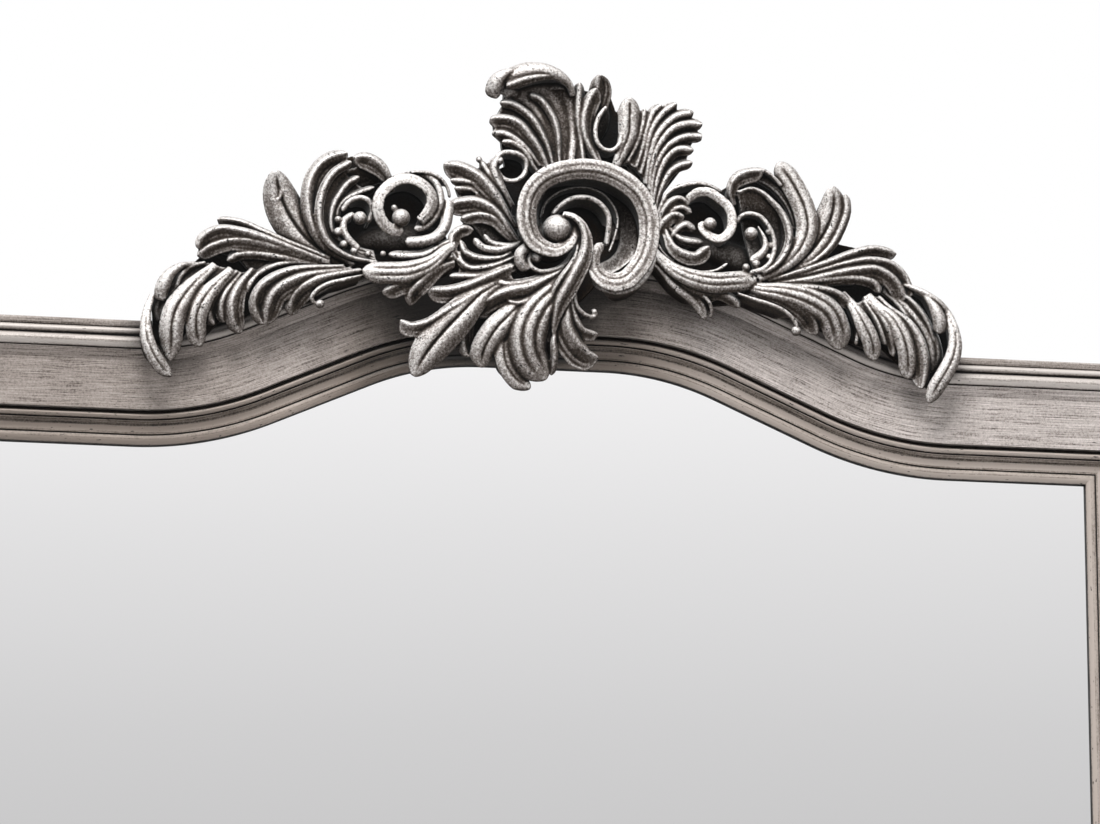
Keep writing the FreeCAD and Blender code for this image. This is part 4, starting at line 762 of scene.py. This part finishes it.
def read_table(text):
    """Groups of lobes, ground outlines, balls and fluted floors that a table lists."""
    groups, grounds, balls, sheets = [], [], [], []
    for line in text.replace("\n ", " ").strip().splitlines():
        kind, *words = line.split()
        numbers = [float(word) for word in words if "," not in word]
        pixels = [tuple(map(float, word.split(","))) for word in words if "," in word]
        if kind == "web":
            groups.append((numbers[0], []))
        elif kind == "ground":
            grounds.append(pixels)
        elif kind == "ball":
            balls.append((numbers[0], pixels[0], numbers[1]))
        elif kind == "sheet":
            sheets.append((*numbers, []))
        elif kind == "curve":
            sheets[-1][2].append((numbers, pixels))
        else:
            groups[-1][1].append((kind, numbers[0], numbers[1:], pixels))
    return groups, grounds, balls, sheets


def cast(side, look, table, blocks=()):
    """One casting: its lobes are merged into a single skin, softened and given cavity values."""
    carving = Carving()
    node = "crest_" + side
    leaves, plates, balls, sheets = read_table(table)
    for pixels in plates:
        carving.plate(pixels, GROUND_SHARE)
    for reach, lobes in leaves:
        for lobe in lobes:
            carving.lobe(*lobe)
        if reach:
            for first, second in zip(lobes, lobes[1:]):
                carving.web(first, second, reach)
    for ball in balls:
        carving.ball(*ball)
    for sheet in sheets:
        carving.sheet(*sheet)
    for low, high in blocks:
        carving.block(low, high)
    piece = carving.mesh("carved_" + side)
    mesh = skin(piece, SKIN_SIZE)
    keep_inside(mesh, node)
    mark_cavities(mesh)
    dress(mesh, look)
    piece.visible_glossy = False
    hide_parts(node)
    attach(piece, "root")


# Frame: sections in (reach outward from the sight edge, relief), in metres
def section(*rows):
    """Section points from rows of millimetres, a third value bending the run to a point by a sag."""
    points = [rows[0][:2]]
    for row in rows[1:]:
        if len(row) == 2:
            points.append(row)
            continue
        start, end = np.array(points[-1]), np.array(row[:2])
        chord = np.linalg.norm(end - start)
        normal = np.array([start[1] - end[1], end[0] - start[0]]) / chord
        if normal[1] < 0:
            normal = -normal
        for t in np.linspace(0, 1, ARC_POINTS)[1:]:
            points.append(tuple(start + (end - start) * t + normal * row[2] * (1 - (2 * t - 1) ** 2)))
    return eased(np.array(points, float), EASE) * MM


def eased(points, radius):
    """Rounds every corner of a closed outline by a small radius."""
    soft = []
    count = len(points)
    for i in range(count):
        before, here, after = points[i - 1], points[i], points[(i + 1) % count]
        a, b = before - here, after - here
        la, lb = np.linalg.norm(a), np.linalg.norm(b)
        turn = abs(math.pi - math.acos(np.clip(a @ b / (la * lb), -1, 1)))
        if turn < EASE_TURN:
            soft.append(here)
            continue
        p = here + a / la * min(radius, 0.4 * la)
        q = here + b / lb * min(radius, 0.4 * lb)
        for t in (0.0, 0.5, 1.0):
            soft.append((1 - t) ** 2 * p + 2 * t * (1 - t) * here + t**2 * q)
    return np.array(soft)


ARC_POINTS = 11
# Rounding at a section's corners in millimetres, and the least turn that is rounded
EASE = 0.45
EASE_TURN = math.radians(25)
SHARP_TURN = math.radians(40)
HALF_WIDTH = -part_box("left_stile")[0].x
SIGHT_HALF = HALF_WIDTH - FRAME_WIDTH
SHOULDER_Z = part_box("left_stile")[1].z - FRAME_WIDTH
CROWN_FLAT_HALF = 48 * MM
CROWN_RADIUS = 214 * MM
HAUNCH_RADIUS = 270 * MM
SLOPE_LENGTH = 82.5 * MM
SLOPE_ANGLE = math.radians(24)
WAVE_HALF = CROWN_FLAT_HALF + (CROWN_RADIUS + HAUNCH_RADIUS) * math.sin(SLOPE_ANGLE)
WAVE_HALF += SLOPE_LENGTH * math.cos(SLOPE_ANGLE)
TURN_STEPS = 22
STRAIGHT_STEP = 30 * MM

OUTER_SECTION = section(
    (64.5, 16), (95, 16), (95, 26), (89.5, 26), (89.5, 25), (82.5, 26, 2.6), (72.5, 27.2, 3.8),
    (72.5, 26.6), (71.5, 26.6), (71.5, 27.6), (64.5, 22),
)
SIGHT_SECTION = section(
    (0, 8), (0, 11.4), (7, 13.4, 1.3), (7, 12.4), (8, 12.4), (8, 13.4), (17.5, 18.6, -1.7), (17.5, 17),
    (18.5, 17), (18.5, 18), (23.5, 18, 2.4), (23.5, 17), (25.5, 17), (25.5, 12), (13, 12), (13, 8),
)
FIELD_SECTION = section(
    (25.5, 21.8), (64.5, 21.8), (71.5, 27.4), (71.5, 27.8), (64.4, 22.15), (25.5, 22.15)
)


def serpentine():
    """Stations of the sight edge over the top: x, z and heading."""
    x, z, heading = -SIGHT_HALF, SHOULDER_Z, 0.0
    stations = []
    straight = SIGHT_HALF - WAVE_HALF
    stretches = (
        (straight, None, 0), (None, HAUNCH_RADIUS, 1), (SLOPE_LENGTH, None, 0), (None, CROWN_RADIUS, -1),
        (2 * CROWN_FLAT_HALF, None, 0), (None, CROWN_RADIUS, -1), (SLOPE_LENGTH, None, 0),
        (None, HAUNCH_RADIUS, 1), (straight, None, 0),
    )
    for length, radius, side in stretches:
        steps = TURN_STEPS if radius else max(2, int(length / STRAIGHT_STEP))
        for i in range(steps):
            t = i / steps
            stations.append(step_on(x, z, heading, length, radius, side, t))
        x, z, heading = step_on(x, z, heading, length, radius, side, 1)
    return stations + [(x, z, heading)]


def step_on(x, z, heading, length, radius, side, t):
    """Station at a share of a straight stretch or of a bend."""
    if not radius:
        return x + length * t * math.cos(heading), z + length * t * math.sin(heading), heading
    turned = heading + side * SLOPE_ANGLE * t
    px = x + side * radius * (math.sin(turned) - math.sin(heading))
    return px, z - side * radius * (math.cos(turned) - math.cos(heading)), turned


def stations(where):
    """Path of the sight edge along one side of the frame: x, z and the outward direction."""
    if where == "top":
        path = [(x, z, -math.sin(a), math.cos(a)) for x, z, a in serpentine()]
    elif where == "bottom":
        count = int(2 * SIGHT_HALF / STRAIGHT_STEP)
        path = [(SIGHT_HALF - 2 * SIGHT_HALF * i / count, FRAME_WIDTH, 0, -1) for i in range(count + 1)]
    else:
        side = -1 if where == "left" else 1
        rise = SHOULDER_Z - FRAME_WIDTH
        count = int(rise / STRAIGHT_STEP)
        path = [(side * SIGHT_HALF, FRAME_WIDTH + rise * i / count, side, 0) for i in range(count + 1)]
        if side > 0:
            path = path[::-1]
    return path


def exposure(outline):
    """How far each point of a section stands above the mean of its surroundings, 0 to 1."""
    high = []
    for reach, relief in outline:
        near = outline[np.abs(outline[:, 0] - reach) < EXPOSURE_REACH]
        near = near[near[:, 1] > relief - 4 * EXPOSURE_RISE]
        high.append(0.5 + 0.5 * (relief - near[:, 1].mean()) / EXPOSURE_RISE)
    return np.clip(high, 0, 1)


EXPOSURE_REACH = 3.2 * MM
EXPOSURE_RISE = 1.4 * MM


def moulding(name, where, outline, look, node=None):
    """One side of the frame: the section carried from mitre to mitre, with its marks for the leaf."""
    path = stations(where)
    rows, along = [], [0.0]
    for (x0, z0, *_), (x1, z1, *_) in zip(path, path[1:]):
        along.append(along[-1] + math.hypot(x1 - x0, z1 - z0))
    for i, (x, z, nx, nz) in enumerate(path):
        end = -1 if i == 0 else 1 if i == len(path) - 1 else 0
        tx, tz = nz, -nx
        px = x + nx * outline[:, 0] + tx * end * outline[:, 0]
        pz = z + nz * outline[:, 0] + tz * end * outline[:, 0]
        rows.append(np.stack([px, BACK_Y - outline[:, 1], pz], 1))
    rows = np.array(rows)
    count, around = rows.shape[:2]
    faces = [(b, a, d, c) for a, b, c, d in ring_faces(count, around)]
    faces.append(tuple(range(around)))
    faces.append(tuple(reversed(range((count - 1) * around, count * around))))
    mesh = bpy.data.meshes.new(name)
    mesh.from_pydata(rows.reshape(-1, 3).tolist(), [], faces)
    turned = bmesh.new()
    turned.from_mesh(mesh)
    bmesh.ops.recalc_face_normals(turned, faces=turned.faces)
    turned.to_mesh(mesh)
    turned.free()
    mesh.polygons.foreach_set("use_smooth", [True] * len(faces))
    mesh.set_sharp_from_angle(angle=SHARP_TURN)
    mark(mesh, "along", np.repeat(np.array(along), around))
    mark(mesh, "reach", np.tile(outline[:, 0], count))
    mark(mesh, "wear", np.tile(exposure(outline), count))
    dress(mesh, look)
    piece = linked(name, mesh)
    if node:
        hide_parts(node)
    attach(piece, "root")


class Web:
    """Short ways to add nodes to one tree."""

    def __init__(self, tree):
        self.tree = tree

    def node(self, kind, inputs=(), **settings):
        made = self.tree.nodes.new(kind)
        for name, value in settings.items():
            setattr(made, name, value)
        self.feed(made, inputs)
        return made

    def join(self, source, target):
        self.tree.links.new(source, target)

    def feed(self, node, inputs):
        """Joins a socket to each named input, or sets its value."""
        for key, value in dict(inputs).items():
            if isinstance(value, bpy.types.NodeSocket):
                self.join(value, node.inputs[key])
            else:
                node.inputs[key].default_value = value

    def math(self, operation, a, b):
        return self.node("ShaderNodeMath", {0: a, 1: b}, operation=operation).outputs[0]

    def sway(self, value, amount, middle=0.5):
        """The value's swing about its middle, scaled."""
        return self.math("MULTIPLY", self.math("SUBTRACT", value, middle), amount)

    def total(self, *values):
        whole = values[0]
        for value in values[1:]:
            whole = self.math("ADD", whole, value)
        return whole

    def ramp(self, value, low, high, start=0.0, end=1.0, smooth=True):
        inputs = {"Value": value, "From Min": low, "From Max": high, "To Min": start, "To Max": end}
        kind = "SMOOTHSTEP" if smooth else "LINEAR"
        return self.node("ShaderNodeMapRange", inputs, interpolation_type=kind).outputs["Result"]

    def mix(self, share, a, b, blend="MIX"):
        inputs = {0: share, 6: a, 7: b}
        return self.node("ShaderNodeMix", inputs, data_type="RGBA", blend_type=blend).outputs[2]

    def shaded(self, colour, share, dark):
        """The colour, multiplied by a dark one where the share is low."""
        return self.mix(1.0, colour, self.mix(share, dark, WHITE), "MULTIPLY")

    def object_place(self):
        return self.node("ShaderNodeTexCoord").outputs["Object"]

    def xyz(self, vector):
        return self.node("ShaderNodeSeparateXYZ", {0: vector}).outputs

    def nooks(self, distance, **settings):
        made = self.node("ShaderNodeAmbientOcclusion", {"Distance": distance}, samples=8, **settings)
        return made.outputs["AO"]

    def stored(self, name):
        return self.node("ShaderNodeAttribute", attribute_name=name).outputs["Fac"]

    def noise(self, scale, detail=3.0, rough=0.55, vector=None):
        place = self.object_place() if vector is None else vector
        inputs = {"Vector": place, "Scale": scale, "Detail": detail, "Roughness": rough}
        return self.node("ShaderNodeTexNoise", inputs).outputs["Fac"]

    def stretched(self, vector, scale):
        return self.node("ShaderNodeMapping", {"Vector": vector, "Scale": scale}).outputs["Vector"]

    def bump(self, height, strength, distance):
        inputs = {"Strength": strength, "Distance": distance, "Height": height}
        return self.node("ShaderNodeBump", inputs).outputs["Normal"]


def material(name):
    made = bpy.data.materials.new(name)
    web = empty_web(made)
    shader = web.node("ShaderNodeBsdfPrincipled")
    web.node("ShaderNodeOutputMaterial", {"Surface": shader.outputs["BSDF"]})
    return made, web, shader


def empty_web(owner):
    owner.use_nodes = True
    owner.node_tree.nodes.clear()
    return Web(owner.node_tree)


def srgb(red, green, blue):
    """Linear colour from 0 to 255 display values."""
    linear = []
    for c in (red / 255, green / 255, blue / 255):
        linear.append(c / 12.92 if c <= 0.04045 else ((c + 0.055) / 1.055) ** 2.4)
    return (*linear, 1.0)


WHITE = (1, 1, 1, 1)
LEAF_BRIGHT = srgb(228, 224, 221)
LEAF_MID = srgb(144, 136, 131)
LEAF_DARK = srgb(62, 54, 48)
PATINA = srgb(17, 14, 11)
CASTING_BACK = srgb(122, 114, 108)


def levels(web, value, marks):
    """Grey level of a value between marks of (value, level)."""
    low, high = marks[0][0], marks[-1][0]
    ramp = web.node("ShaderNodeValToRGB", {"Fac": web.ramp(value, low, high, smooth=False)})
    stops = ramp.color_ramp.elements
    while len(stops) > 1:
        stops.remove(stops[-1])
    for i, (place, level) in enumerate(marks):
        position = (place - low) / (high - low)
        stop = stops[0] if i == 0 else stops.new(position)
        stop.position = position
        stop.color = (level, level, level, 1)
    return ramp.outputs["Color"]


HOLLOW_REACH = 22 * MM
PAINTED_SHADE_REACH = 60 * MM


def silvered_casting():
    """Silver leaf worn bright on the high places and dark patina in the hollows, with painted shade in
    closed-in hollows and deep places and a painted highlight on faces toward the key lamp.
    """
    made, web, shader = material("silvered_casting")
    # Dark patina and painted shade: hollows that nearby carving closes in are darkened
    open_to_light = web.ramp(web.nooks(HOLLOW_REACH, only_local=True), 0.26, 0.86)
    # Painted shade: points deep behind the lobes, near the ground plate, are darkened
    clear_of_deep_shade = web.ramp(web.xyz(web.object_place())["Y"], seen_depth(0.16), seen_depth(0.34))
    cloud = web.noise(70.0, 4.0, 0.65)
    grain = web.noise(560.0, 4.0, 0.8)
    height = web.total(
        web.math("MULTIPLY", web.math("MINIMUM", web.stored("near"), 0.62), 0.60),
        web.math("MULTIPLY", web.math("MINIMUM", web.stored("far"), 0.66), 0.70),
        # Painted light: faces toward the key lamp are pushed toward the bright leaf colour
        web.math("MULTIPLY", web.stored("painted_key_light"), 0.45),
        web.sway(cloud, 0.24),
        web.sway(grain, 0.95),
    )
    colour = web.mix(web.ramp(height, 0.52, 0.80), PATINA, LEAF_DARK)
    colour = web.mix(web.ramp(height, 0.80, 1.12), colour, LEAF_MID)
    colour = web.mix(web.ramp(height, 1.04, 1.28), colour, LEAF_BRIGHT)
    colour = web.shaded(colour, open_to_light, srgb(34, 28, 23))
    colour = web.shaded(colour, clear_of_deep_shade, srgb(58, 49, 42))
    chips = web.total(web.noise(420.0, 3.0, 0.6), web.sway(cloud, 0.5), web.sway(web.stored("near"), 0.10))
    colour = web.mix(web.ramp(chips, 0.66, 0.70, 0.0, 0.9), colour, PATINA)
    dull = web.mix(web.ramp(cloud, 0.35, 0.65), CASTING_BACK, LEAF_DARK)
    colour = web.mix(web.math("MULTIPLY", web.stored("behind"), 0.9), colour, dull)
    web.feed(shader, {
        "Base Color": colour,
        "Metallic": web.ramp(height, 0.80, 1.20, 0.05, 0.6),
        "Roughness": web.ramp(height, 0.75, 1.25, 0.6, 0.44),
        "Specular IOR Level": 0.15,
        "Normal": web.bump(web.total(grain, web.sway(cloud, 0.8)), 0.8, 0.7 * MM),
    })
    return made


def seen_depth(share):
    """Y of a relief given as a share of the crest's relief."""
    return BACK_Y - relief_at(share)


# How light the finish is along the top rail: painted shade of the crest's shadow, darkest under the crest,
# and a left end painted darker than the right, over dark patina
RAIL_SHADE_AND_PATINA = [
    (-0.40, 0.61), (-0.26, 0.61), (-0.195, 0.80), (-0.165, 0.66), (-0.14, 0.36), (-0.05, 0.27),
    (0.059, 0.46), (0.085, 0.68), (0.128, 1.0), (0.216, 0.94), (0.33, 1.0), (0.40, 1.0),
]


def shade_and_patina_toward_crest(web, colour, share):
    """Darkens the upper frame by the rail's tones of painted shade and patina, warmer where they are
    darker.
    """
    place = web.xyz(web.object_place())
    tone = levels(web, place["X"], RAIL_SHADE_AND_PATINA)
    tone = web.shaded(tone, tone, srgb(255, 244, 232))
    upper = web.ramp(place["Z"], 1.1, 1.16, 0.0, share)
    return web.mix(1.0, colour, web.mix(upper, WHITE, tone), "MULTIPLY")


def silvered_sweep(name, bright, mid, dark, contrast, wear_share, shade_and_patina_share, metal):
    """Silver leaf over dark bole on a swept piece, brushed along its length."""
    made, web, shader = material(name)
    flow = web.node("ShaderNodeCombineXYZ", {"X": web.stored("along"), "Y": web.stored("reach")}).outputs[0]
    lines = web.noise(1.0, 5.0, 0.75, web.stretched(flow, (14, 640, 1)))
    fine = web.noise(1.0, 2.0, 0.6, web.stretched(flow, (40, 1500, 1)))
    cloud = web.noise(9.0, 4.0, 0.6)
    grain = web.noise(620.0, 4.0, 0.8)
    level = web.total(
        0.5,
        web.sway(grain, 0.7),
        web.sway(lines, contrast),
        web.sway(fine, contrast),
        web.sway(cloud, 0.24),
        web.sway(web.stored("wear"), wear_share),
    )
    colour = web.mix(web.ramp(level, 0.12, 0.40), PATINA, dark)
    colour = web.mix(web.ramp(level, 0.30, 0.52), colour, mid)
    colour = web.mix(web.ramp(level, 0.50, 0.80), colour, bright)
    nicks = web.total(
        web.noise(1.0, 2.0, 0.5, web.stretched(flow, (150, 620, 1))), web.sway(cloud, 0.3),
        web.sway(web.stored("wear"), 0.10),
    )
    colour = web.mix(web.ramp(nicks, 0.72, 0.76, 0.0, 0.9), colour, PATINA)
    # Painted shade: places that nearby parts close in, such as the rail under the crest's leaves, are
    # darkened
    colour = web.shaded(colour, web.ramp(web.nooks(PAINTED_SHADE_REACH), 0.36, 0.86), srgb(50, 42, 37))
    web.feed(shader, {
        # Painted shade and patina of the top rail, darkest toward the crest
        "Base Color": shade_and_patina_toward_crest(web, colour, shade_and_patina_share),
        "Metallic": metal,
        "Roughness": web.ramp(level, 0.3, 0.7, 0.66, 0.5),
        "Normal": web.bump(web.total(fine, lines, grain), 0.35, 0.3 * MM),
    })
    return made


def mottled(name, colour, second, metallic, rough, scale, bump=0.15, grain=(1, 1, 1)):
    """Even material with a fine mottle, drawn out into a grain where that is asked."""
    made, web, shader = material(name)
    mottle = web.noise(scale, 4.0, 0.6, web.stretched(web.object_place(), grain))
    web.feed(shader, {
        "Base Color": web.mix(web.ramp(mottle, 0.35, 0.65), colour, second),
        "Metallic": metallic,
        "Roughness": rough,
        "Normal": web.bump(mottle, bump, 0.2 * MM),
    })
    return made


GLASS_TINT = (0.936, 0.930, 0.937, 1)


def silvered_glass():
    made, web, shader = material("mirror_glass")
    haze = web.ramp(web.noise(9.0, 3.0, 0.6), 0.3, 0.8, 0.012, 0.03)
    web.feed(shader, {"Base Color": GLASS_TINT, "Metallic": 1.0, "Roughness": haze})
    return made


CASTING = silvered_casting()
FIELD_COLOURS = (srgb(234, 225, 221), srgb(196, 187, 182), srgb(134, 124, 118))
MOULDING_COLOURS = (srgb(212, 204, 198), srgb(156, 146, 139), srgb(78, 68, 61))
SIGHT_COLOURS = (srgb(186, 174, 165), srgb(128, 117, 108), srgb(60, 51, 44))
FIELD = silvered_sweep("silvered_field", *FIELD_COLOURS, 0.8, 0.0, 1.0, 0.4)
MOULDING = silvered_sweep("silvered_moulding", *MOULDING_COLOURS, 0.6, 1.1, 0.25, 0.2)
SIGHT = silvered_sweep("silvered_sight", *SIGHT_COLOURS, 0.6, 1.1, 1.0, 0.15)
RAIL = mottled("silvered_rail", srgb(150, 142, 137), srgb(128, 120, 114), 0.2, 0.6, 90.0, 0.15, (1, 1, 0.2))
GLASS = silvered_glass()
STEEL = mottled("zinc_steel", srgb(176, 178, 180), srgb(150, 152, 156), 1.0, 0.35, 160.0)
PLY = mottled("backing_board", srgb(168, 134, 96), srgb(146, 112, 76), 0.0, 0.7, 110.0, 0.15, (1, 1, 0.06))
BIRCH = mottled("spline_wood", srgb(202, 172, 128), srgb(184, 152, 108), 0.0, 0.6, 160.0, 0.15, (1, 1, 0.1))
FOAM = mottled("foam", srgb(66, 66, 68), srgb(48, 48, 50), 0.0, 0.95, 400.0, 0.4)
RUBBER = mottled("rubber", srgb(40, 40, 41), srgb(30, 30, 31), 0.0, 0.75, 300.0, 0.2)

SIDES = ("top", "bottom", "left", "right")
NODE_LOOKS = {
    RAIL: ["top_rail", "bottom_rail", "left_stile", "right_stile"],
    GLASS: ["mirror_glass"],
    PLY: ["backing_board"],
    STEEL: [
        "left_hanger", "right_hanger", "board_screws", "corner_plates", "corner_screws", "hanger_screws",
        "crest_screws", "crest_straps", "strap_screws",
    ],
    BIRCH: ["corner_splines"],
    RUBBER: ["wall_bumpers"],
    FOAM: ["cushion_strip_" + where for where in SIDES],
}
for look, nodes in NODE_LOOKS.items():
    for node in nodes:
        dress(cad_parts[node].data, look)

for where in SIDES:
    outer, sight = "outer_moulding_" + where, "sight_moulding_" + where
    moulding("reeded_" + where, where, OUTER_SECTION, MOULDING, outer)
    moulding("stepped_" + where, where, SIGHT_SECTION, SIGHT, sight)
    moulding("leafed_" + where, where, FIELD_SECTION, FIELD)

FOOT_LOW_Z = CROWN_TOP_Z + FOOT_CLEARANCE
FOOT_BLOCK = (
    (FOOT_X - FOOT_HALF, BACK_Y - CREST_BACK, FOOT_LOW_Z),
    (FOOT_X + FOOT_HALF, BACK_Y, FOOT_LOW_Z + FOOT_HEIGHT),
)
cast("left_spray", CASTING, LEFT_SPRAY)
cast("cartouche", CASTING, CARTOUCHE, [FOOT_BLOCK])
cast("right_spray", CASTING, RIGHT_SPRAY)


FLOOR_MIDDLE = (0.80, 0.80, 0.80, 1)
FLOOR_RIM = (0.93, 0.93, 0.93, 1)
FLOOR_FADE = (0.9, 1.9)
FLOOR_RADIUS = 2.0
FLOOR_DROP = 0.5 * MM


def floor_disc():
    """A pale disc whose colour turns white toward its rim."""
    made, web, shader = material("floor")
    distance = web.node("ShaderNodeVectorMath", {0: web.object_place()}, operation="LENGTH")
    away = web.ramp(distance.outputs["Value"], *FLOOR_FADE)
    web.feed(shader, {"Base Color": web.mix(away, FLOOR_MIDDLE, FLOOR_RIM), "Roughness": 0.6})
    place = (0, 0, -FLOOR_DROP)
    bpy.ops.mesh.primitive_circle_add(vertices=96, radius=FLOOR_RADIUS, fill_type="NGON", location=place)
    disc = bpy.context.object
    disc.name = "floor"
    dress(disc.data, made)


floor_disc()


# Level of the sky that gloss and glass reflect, by how steeply the direction climbs
SKY_TONES = [
    (-1.0, 0.08), (-0.2, 0.16), (0.05, 0.38), (0.16, 0.53), (0.211, 0.675), (0.240, 0.805), (0.259, 0.912),
    (0.272, 0.985), (0.36, 0.99), (1.0, 0.95),
]
ROOM_GREY = (0.20, 0.20, 0.205, 1)


def studio_world():
    """White to the camera, a soft gradient in the glass and a plain grey light elsewhere."""
    world = bpy.data.worlds.new("studio")
    bpy.context.scene.world = world
    web = empty_web(world)
    path = web.node("ShaderNodeLightPath")
    direction = web.node("ShaderNodeTexCoord").outputs["Generated"]
    sky = levels(web, web.xyz(direction)["Z"], SKY_TONES)
    soft = web.mix(path.outputs["Is Glossy Ray"], ROOM_GREY, sky)
    shown = web.mix(path.outputs["Is Camera Ray"], soft, WHITE)
    background = web.node("ShaderNodeBackground", {"Color": shown, "Strength": 1.0})
    web.node("ShaderNodeOutputWorld", {"Surface": background.outputs["Background"]})


studio_world()


def area_light(name, place, aim, size, power):
    data = bpy.data.lights.new(name, "AREA")
    data.shape = "DISK"
    data.size = size
    data.energy = power
    lamp = linked(name, data)
    lamp.location = place
    lamp.rotation_euler = (Vector(aim) - Vector(place)).to_track_quat("-Z", "Y").to_euler()
    lamp.visible_camera = False


CREST_CENTRE = (0.0, 0.0, 1.33)
BOARD_CENTRE = (0.0, 0.0, 0.8)
area_light("key", (-0.7, -2.7, 4.1), CREST_CENTRE, 2.3, 165.0)
area_light("fill", (2.6, -3.2, 2.4), CREST_CENTRE, 2.0, 16.0)
area_light("back_left", (-2.4, 3.0, 2.6), BOARD_CENTRE, 2.0, 75.0)
area_light("back_right", (2.4, 3.0, 2.6), BOARD_CENTRE, 2.0, 75.0)

# Camera
view = bpy.data.cameras.new("camera")
view.sensor_fit = "HORIZONTAL"
view.sensor_width = SENSOR
view.lens = SENSOR * VIEW_DISTANCE / (IMAGE_WIDTH * PIXEL)
view.clip_end = 100
camera = linked("camera", view)
camera.location = EYE
camera.rotation_euler = Vector(FORWARD).to_track_quat("-Z", "Y").to_euler()
bpy.context.scene.camera = camera
bpy.context.scene.view_settings.view_transform = "Standard"
